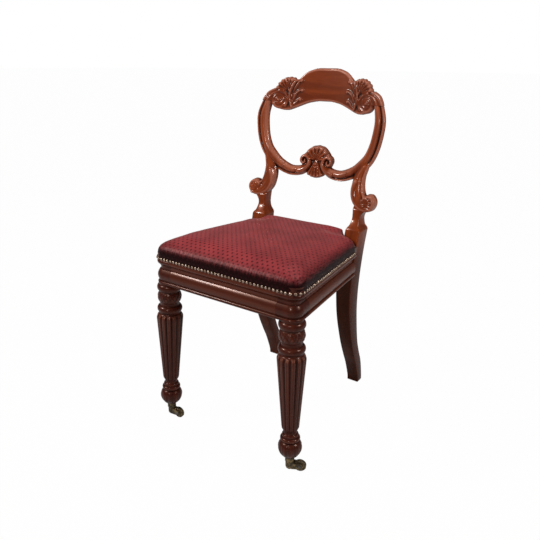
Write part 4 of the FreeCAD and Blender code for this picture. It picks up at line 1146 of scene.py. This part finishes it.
    def head(self) -> Piece:
        """Points, faces and relief of the leg's head, its moulding worked round the corner."""
        rows = self.section()
        full = 90 + self.taper
        turns = [(0.0, -self.corner_radius)] + [(turn, 0.0) for turn in np.linspace(0, full, 26)]
        turns.append((full, self.corner_radius))
        points = []
        for turn, along in turns:
            sin, cos = math.sin(math.radians(turn)), math.cos(math.radians(turn))
            for inward, height in rows:
                reach = self.corner_radius - inward
                if along == 0.0:
                    reach = max(reach, 0.0)
                x = self.corner_x + sin * reach + cos * along
                points.append((x, self.corner_y - cos * reach + sin * along, height))
        faces = [tuple(reversed(face)) for face in ring_faces(len(turns), len(rows))]
        dips = rows[:, 0] - np.convolve(np.pad(rows[:, 0], 3, mode="edge"), np.ones(7) / 7, mode="valid")
        shade = np.tile(np.clip(-dips / 2.0, -1, 0.3) * (rows[:, 0] < 12), len(turns))
        return self.lean(np.array(points)), faces, shade


@dataclass
class SeatCushion(SeatPlan):
    """The stuffed seat under its satin cover."""

    rear_y: float = 144.3
    post_inner: float = 125.4
    post_front: float = 106.4
    base: float = 449.3
    band: float = 475.0
    crown: float = 507.5
    cap_heights: tuple[float, ...] = (0.455, 0.475, 0.507)
    swell_caps: tuple[float, ...] = (0.0006, 0.0010, 0.0050)
    fold: float = 0.4885
    held_below: float = 0.462
    voxel: float = 0.0055
    pressure: float = 4.0
    frames: int = 20

    def outline(self, inset: float, count: int = 200) -> Array:
        """The seat's plan at an inset, notched round the posts.

        Args:
            inset: How far inside the nail line.
            count: How many points to return.

        Returns:
            Points (x, y), anticlockwise from the rear left.
        """
        half_width = self.corner_x + self.corner_radius - inset
        reach = min(self.corner_radius + 0.6 * inset, 0.9 * half_width)
        shift = inset + reach - self.corner_radius
        cx, cy = self.corner_x - shift, self.corner_y + shift
        turns = np.radians(np.linspace(0, 90 + self.taper, 14))
        half = [(cx + reach * math.sin(a), cy - reach * math.cos(a)) for a in turns]
        post_y = self.post_front - min(inset, 6.0) * 0.6
        inner = self.post_inner - min(inset, 6.0) * 0.5
        half.append((half[-1][0] - math.tan(math.radians(self.taper)) * (post_y - half[-1][1]), post_y))
        half += [(inner, post_y), (inner, self.rear_y - min(inset * 0.5, 9.0))]
        ring = [(-x, y) for x, y in reversed(half)] + half
        line = np.array(ring + [ring[0]])
        steps = np.concatenate([[0], np.cumsum(np.hypot(*np.diff(line, axis=0).T))])
        marks = np.linspace(0, steps[-1], count, endpoint=False)
        return np.stack([np.interp(marks, steps, line[:, 0]), np.interp(marks, steps, line[:, 1])], 1)

    def rest_mesh(self) -> bpy.types.Object:
        """Mesh the seat before it is stuffed."""
        levels = [(0.6, self.base), (0.0, self.base + 3), (-0.2, 464.0), (0.0, self.band)]
        shares = ((2, 0.2), (6, 0.38), (13, 0.53), (25, 0.68), (45, 0.82), (75, 0.92), (110, 0.985), (150, 1))
        levels += [(inset, self.band + (self.crown - self.band) * share) for inset, share in shares]
        rings = []
        for inset, height in levels:
            flat = self.outline(inset)
            rings.append(np.column_stack([flat, np.full(len(flat), height)]))
        return to_object("seat_cover_satin", np.vstack(rings), ring_faces(len(rings), len(rings[0])))

    def stuff(self, pad: bpy.types.Object) -> None:
        """Swell the seat with a cloth simulation, held at its nails and capped."""
        remesh = pad.modifiers.new("remesh", "REMESH")
        remesh.mode = "VOXEL"
        remesh.voxel_size = self.voxel
        bpy.context.view_layer.objects.active = pad
        bake(pad)
        before = gathered(pad.data.vertices, "co", 3)
        self._swell(pad, before)
        moved = gathered(pad.data.vertices, "co", 3) - before
        size = np.linalg.norm(moved, axis=1)
        room = np.interp(before[:, 2], self.cap_heights, self.swell_caps)
        keep = np.minimum(1.0, room / np.maximum(size, 1e-9))
        placed = self.lean((before + moved * keep[:, None]) / MM) * MM
        pad.data.vertices.foreach_set("co", placed.ravel())
        smooth = pad.modifiers.new("ease", "SMOOTH")
        smooth.factor = 0.5
        smooth.iterations = 12
        bake(pad)
        finer = pad.modifiers.new("finer", "SUBSURF")
        finer.levels = finer.render_levels = 1
        bake(pad)
        pad.data.shade_smooth()

    def _swell(self, pad: bpy.types.Object, rest: Array) -> None:
        """Run the cloth simulation and keep its last frame."""
        held = pad.vertex_groups.new(name="nailed")
        held.add(np.flatnonzero(rest[:, 2] < self.held_below).tolist(), 1.0, "REPLACE")
        cloth = pad.modifiers.new("stuffing", "CLOTH").settings
        cloth.use_pressure = True
        cloth.uniform_pressure_force = self.pressure
        cloth.effector_weights.gravity = 0.0
        cloth.vertex_group_mass = "nailed"
        cloth.tension_stiffness = 25
        cloth.compression_stiffness = 20
        for number in range(1, self.frames + 1):
            bpy.context.scene.frame_set(number)
        bake(pad)
        bpy.context.scene.frame_set(1)

    def lay_cloth(self, pad: bpy.types.Object) -> None:
        """Give the cover a map that runs over the top and down the sides."""
        mesh = pad.data
        corners = gathered(mesh.loops, "vertex_index", 1, int)
        starts = gathered(mesh.polygons, "loop_start", 1, int)
        sizes = gathered(mesh.polygons, "loop_total", 1, int)
        order = np.concatenate([np.arange(start, start + size) for start, size in zip(starts, sizes)])
        normal = gathered(mesh.polygons, "normal", 3)[np.repeat(np.arange(len(sizes)), sizes)]
        spot = gathered(mesh.vertices, "co", 3)[corners[order]]
        drop = np.maximum(self.fold - spot[:, 2], 0) * (np.abs(normal[:, 2]) < 0.8)
        sideways = np.abs(normal[:, 0]) > np.abs(normal[:, 1])
        u = spot[:, 0] + np.where(sideways, np.sign(normal[:, 0]) * drop, 0)
        v = spot[:, 1] + np.where(sideways, 0, np.sign(normal[:, 1]) * drop)
        uv = np.zeros((len(corners), 2), np.float32)
        uv[order] = np.stack([u, v], 1)
        mesh.uv_layers.new(name="cloth").data.foreach_set("uv", uv.ravel())


@dataclass
class NailRow:
    """The close row of brass nails round the seat."""

    cushion: SeatCushion
    pitch: float = 9.8
    nail_radius: float = 3.5
    rise: float = 2.4

    def places(self) -> tuple[Array, Array]:
        """The nails' places and the ways that they face."""
        seat = self.cushion
        count = int((seat.corner_x - 2) / self.pitch)
        spots = [(number * self.pitch, seat.front_y, seat.nail_z) for number in range(-count, count + 1)]
        ways = [(0.0, -1.0, 0.0)] * len(spots)
        full = 90 + seat.taper
        length = (POST_Y - seat.corner_y) / math.cos(math.radians(seat.taper))
        side = [(full * (number + 0.7) / 4, 0.0) for number in range(4)]
        side += [(full, number * self.pitch) for number in range(1, int((length - 6) / self.pitch) + 1)]
        for hand in (-1, 1):
            for turn, along in side:
                sin, cos = math.sin(math.radians(turn)), math.cos(math.radians(turn))
                x = seat.corner_x + cos * along + sin * seat.corner_radius
                y = seat.corner_y + sin * along - cos * seat.corner_radius
                spots.append((hand * x, y, seat.nail_z))
                ways.append((hand * sin, -cos, 0.0))
        return seat.lean(np.array(spots)), np.array(ways)

    def build(self, finish: bpy.types.Material) -> bpy.types.Object:
        """Set a domed head on each place with a node tree, and return the plain mesh.

        Args:
            finish: The brass of the heads.

        Returns:
            The nails as one object.
        """
        spots, ways = self.places()
        mesh = bpy.data.meshes.new("nail_places")
        mesh.from_pydata((spots * MM).tolist(), [], [])
        facing = mesh.attributes.new("facing", "FLOAT_VECTOR", "POINT")
        facing.data.foreach_set("vector", ways.astype(np.float32).ravel())
        row = place_object("nail_heads", mesh)
        modifier = row.modifiers.new("nail_heads", "NODES")
        modifier.node_group = self._tree(finish)
        sockets = modifier.node_group.interface.items_tree
        inputs = {item.name: item.identifier for item in sockets if item.in_out == "INPUT"}
        modifier[inputs["Head Radius"]] = self.nail_radius * MM
        modifier[inputs["Head Rise"]] = self.rise * MM
        bake(row)
        row.data.shade_smooth()
        return row

    @staticmethod
    def _tree(finish: bpy.types.Material) -> bpy.types.NodeTree:
        """Build the tree that sets a head on each point."""
        tree = bpy.data.node_groups.new("nail_heads_along_rail", "GeometryNodeTree")
        _socket(tree, "Geometry", "Geometry")
        _socket(tree, "Head Radius", "Float", 0.004)
        _socket(tree, "Head Rise", "Float", 0.0025)
        _socket(tree, "Geometry", "Geometry", out=True)
        bench = NodeBench(tree)
        given = bench.add("NodeGroupInput").outputs
        radius = given["Head Radius"]
        ball = bench.feed(bench.add("GeometryNodeMeshUVSphere"), Segments=12, Rings=8, Radius=1.0)
        size = bench.feed(bench.add("CombineXYZ"), i0=radius, i1=radius, i2=given["Head Rise"])
        facing = bench.add("GeometryNodeInputNamedAttribute", data_type="FLOAT_VECTOR")
        bench.feed(facing, Name="facing")
        turn = bench.add("FunctionNodeAlignRotationToVector", axis="Z")
        bench.feed(turn, Vector=facing.outputs["Attribute"])
        heads = bench.add("GeometryNodeInstanceOnPoints")
        bench.feed(heads, Points=given["Geometry"], Instance=ball.outputs["Mesh"])
        bench.feed(heads, Rotation=turn.outputs["Rotation"], Scale=size.outputs[0])
        real = bench.feed(bench.add("GeometryNodeRealizeInstances"), i0=heads.outputs[0])
        paint = bench.feed(bench.add("GeometryNodeSetMaterial"), Geometry=real.outputs[0], Material=finish)
        bench.feed(bench.add("NodeGroupOutput"), i0=paint.outputs[0])
        return tree


# The whole chair and its setting


def _background_ray(bench: NodeBench, glossy: float) -> bpy.types.NodeSocket:
    """Tell the rays that show the background, with a share of the glossy ones."""
    path = bench.add("LightPath").outputs
    seen = bench.math("MAXIMUM", path["Is Camera Ray"], path["Is Transmission Ray"])
    return bench.math("MAXIMUM", seen, bench.times(path["Is Glossy Ray"], glossy))


@dataclass
class Studio:
    """A plain pale floor, soft lamps and the camera."""

    eye: Place = (0.71920, -1.09953, 0.89794)
    azimuth: float = 33.996
    elevation: float = 21.102
    roll: float = 0.480
    lens: float = 36.0
    floor_half: float = 60.0
    floor_share: float = 0.985
    glossy_share: float = 0.15
    world_light: float = 0.10

    def camera(self) -> None:
        """Stand the camera where the photograph was taken from."""
        az, el, roll = (math.radians(v) for v in (self.azimuth, self.elevation, self.roll))
        back = Vector((math.sin(az) * math.cos(el), -math.cos(az) * math.cos(el), math.sin(el)))
        right = (-back).cross(Vector((0, 0, 1))).normalized()
        up = right.cross(-back)
        turned = right * math.cos(roll) + up * math.sin(roll)
        top = -right * math.sin(roll) + up * math.cos(roll)
        data = bpy.data.cameras.new("camera")
        data.lens = data.sensor_width = self.lens
        data.clip_start = 0.05
        place = Matrix((turned, top, back)).transposed().to_4x4()
        place.translation = Vector(self.eye)
        eye = place_object("camera", data)
        eye.matrix_world = place
        bpy.context.scene.camera = eye

    def lamp(self, name: str, place: Place, aim: Place, size: float, power: float) -> None:
        """Hang one square soft lamp."""
        data = bpy.data.lights.new(name, "AREA")
        data.size = size
        data.energy = power
        made = place_object(name, data)
        made.location = place
        made.rotation_mode = "QUATERNION"
        made.rotation_quaternion = (Vector(aim) - Vector(place)).to_track_quat("-Z", "Y")

    def floor(self) -> None:
        """Lay the pale floor, which is white to the camera but keeps the chair's shadow."""
        half = self.floor_half
        mesh = bpy.data.meshes.new("floor")
        corners = [(x * half, y * half, 0) for x, y in ((-1, -1), (1, -1), (1, 1), (-1, 1))]
        mesh.from_pydata(corners, [], [(0, 1, 2, 3)])
        material, bench, shader = _blank("pale_floor")
        bench.feed(shader, Base_Color=(0.55, 0.55, 0.55, 1), Roughness=0.9)
        glow = bench.feed(bench.add("Emission"), Color=WHITE, Strength=1.0)
        seen = bench.times(_background_ray(bench, self.glossy_share), self.floor_share)
        blend = bench.feed(bench.add("MixShader"), i0=seen, i1=shader.outputs[0], i2=glow.outputs[0])
        bench.feed(bench.tree.get_output_node("ALL"), Surface=blend.outputs[0])
        mesh.materials.append(material)
        place_object("floor", mesh)

    def sky(self) -> None:
        """Set the soft pale surroundings."""
        world = bpy.data.worlds.new("studio")
        bpy.context.scene.world = world
        world.use_nodes = True
        world.node_tree.nodes.clear()
        bench = NodeBench(world.node_tree)
        soft = bench.feed(bench.add("Background"), Color=WHITE, Strength=self.world_light)
        white = bench.feed(bench.add("Background"), Color=WHITE, Strength=1.0)
        blend = bench.feed(bench.add("MixShader"), i0=_background_ray(bench, 0.0))
        bench.feed(blend, i1=soft.outputs[0], i2=white.outputs[0])
        bench.feed(bench.add("OutputWorld"), Surface=blend.outputs[0])

    def build(self) -> None:
        """Set up the camera, floor, surroundings and lamps."""
        self.camera()
        self.floor()
        self.sky()
        self.lamp("window", (-1.5, -1.5, 1.9), (0, 0, 0.55), 0.4, 44)
        self.lamp("front", (0.5, -2.2, 1.5), (0, 0, 0.7), 0.3, 13)
        self.lamp("right_fill", (2.1, 0.1, 1.6), (0, 0, 0.6), 0.4, 26)
        self.lamp("over", (0.3, 0.3, 2.4), (0, 0, 0.4), 0.8, 10)
        bpy.context.scene.view_settings.view_transform = "Standard"


class Chair:
    """Every dressed piece of the chair."""

    def __init__(self) -> None:
        """Make the finishes."""
        carving = dict(roughness=0.24, coat=0.35)
        upright, across = Grain.UPRIGHT, Grain.ACROSS
        looks = (
            # carved_mahogany gets painted shade below the seat through its shade share
            PolishedWood(
                "carved_mahogany", (0.27, 0.046, 0.008), (0.085, 0.012, 0.003), upright, shade=0.28, **carving
            ),
            PolishedWood("crest_mahogany", (0.23, 0.040, 0.010), (0.085, 0.013, 0.004), across, **carving),
            PolishedWood("turned_mahogany", (0.070, 0.012, 0.006), (0.022, 0.004, 0.003), upright),
            PolishedWood("rail_mahogany", (0.090, 0.018, 0.008), (0.030, 0.006, 0.004), across),
            PolishedWood(
                "side_rail_mahogany", (0.110, 0.024, 0.009), (0.036, 0.008, 0.005), Grain.FRONT_TO_BACK
            ),
            PolishedWood(
                "bare_beech", (0.52, 0.36, 0.22), (0.30, 0.19, 0.11), across,
                coat=0.0, roughness=0.6, dirt_and_shade_amount=0.3,
            ),
            # the satin's side colour is the painted shade of its turned-down sides
            SatinCloth("crimson_satin", (0.32, 0.040, 0.044), (0.006, 0.001, 0.001), (0.020, 0.001, 0.003)),
            WovenCloth("jute_web", (0.50, 0.40, 0.27), (0.24, 0.18, 0.11), 1500.0),
            WovenCloth("hessian_cloth", (0.45, 0.35, 0.22), (0.20, 0.15, 0.09), 1900.0),
            AgedMetal("castor_brass", (0.30, 0.21, 0.10), (0.055, 0.042, 0.025), 0.52, 0.38),
            AgedMetal("nail_brass", (0.50, 0.37, 0.28), (0.16, 0.09, 0.06), 0.45, 0.30),
            AgedMetal("dull_steel", (0.30, 0.29, 0.28), (0.10, 0.09, 0.08), 0.5, 0.45),
        )
        self.finish = {look.name: look.make() for look in looks}

    def take(self, piece: bpy.types.Object, finish: str, slot: str, *nodes: str) -> None:
        """Finish a piece, let it ride on the chair and stand for its nodes.

        Args:
            piece: The piece.
            finish: The name of its finish, used where it has none.
            slot: Not used.
            nodes: The nodes that it replaces.
        """
        if not piece.data.materials:
            piece.data.materials.append(self.finish[finish])
        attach(piece, "chair")
        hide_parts(*nodes)
        log.info("made %s, %d faces", piece.name, len(piece.data.polygons))

    def wood(self) -> None:
        """Build the carved back, the rear legs and the front legs."""
        back, leg = CarvedBack(), FrontLeg()
        crest = to_object("crest_rail_carved", *back.crest_rail())
        cross = to_object("cross_rail_carved", *back.cross_rail())
        self.take(crest, "crest_mahogany", "carved_mahogany", "crest_rail")
        self.take(cross, "carved_mahogany", "carved_mahogany", "cross_rail")
        posts, legs = (back.post(), RearPost().mesh()), (leg.shaft(), leg.head())
        for side, mirror in (("left", True), ("right", False)):
            post = joined("post_" + side, posts, mirror)
            self.take(post, "carved_mahogany", "carved_mahogany", "back_post_" + side)
            reeded = joined("reeded_leg_" + side, legs, mirror)
            self.take(reeded, "turned_mahogany", "turned_mahogany", "front_leg_" + side)

    def seat(self) -> None:
        """Build the stuffed seat and its nails."""
        cushion = SeatCushion()
        pad = cushion.rest_mesh()
        cushion.stuff(pad)
        cushion.lay_cloth(pad)
        self.take(pad, "crimson_satin", "crimson_cloth", "seat_cover", "seat_stuffing")
        nails = NailRow(cushion).build(self.finish["nail_brass"])
        self.take(nails, "nail_brass", "nail_brass", "nails_front", "nails_left", "nails_right")

    def dress(self) -> None:
        """Give the remaining nodes their finish, by the first start of a name that fits."""
        starts = {
            "castor_pintle": "dull_steel",
            "castor_axle": "dull_steel",
            "corner_block_screws": "dull_steel",
            "castor": "castor_brass",
            "front_seat_rail": "rail_mahogany",
            "rear_seat_rail": "rail_mahogany",
            "left_seat_rail": "side_rail_mahogany",
            "right_seat_rail": "side_rail_mahogany",
            "webbing": "jute_web",
            "hessian": "hessian_cloth",
            "": "bare_beech",
        }
        for name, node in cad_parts.items():
            if node.hide_render:
                continue
            finish = self.finish[next(look for start, look in starts.items() if name.startswith(start))]
            if not node.material_slots:
                node.data.materials.append(finish)
            for place in node.material_slots:
                place.material = finish
            log.info("dressed %s", name)


def main() -> None:
    logging.basicConfig(level=logging.INFO, format="%(message)s")
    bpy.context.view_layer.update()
    Studio().build()
    chair = Chair()
    chair.wood()
    chair.seat()
    chair.dress()


if __name__ == "__main__":
    main()
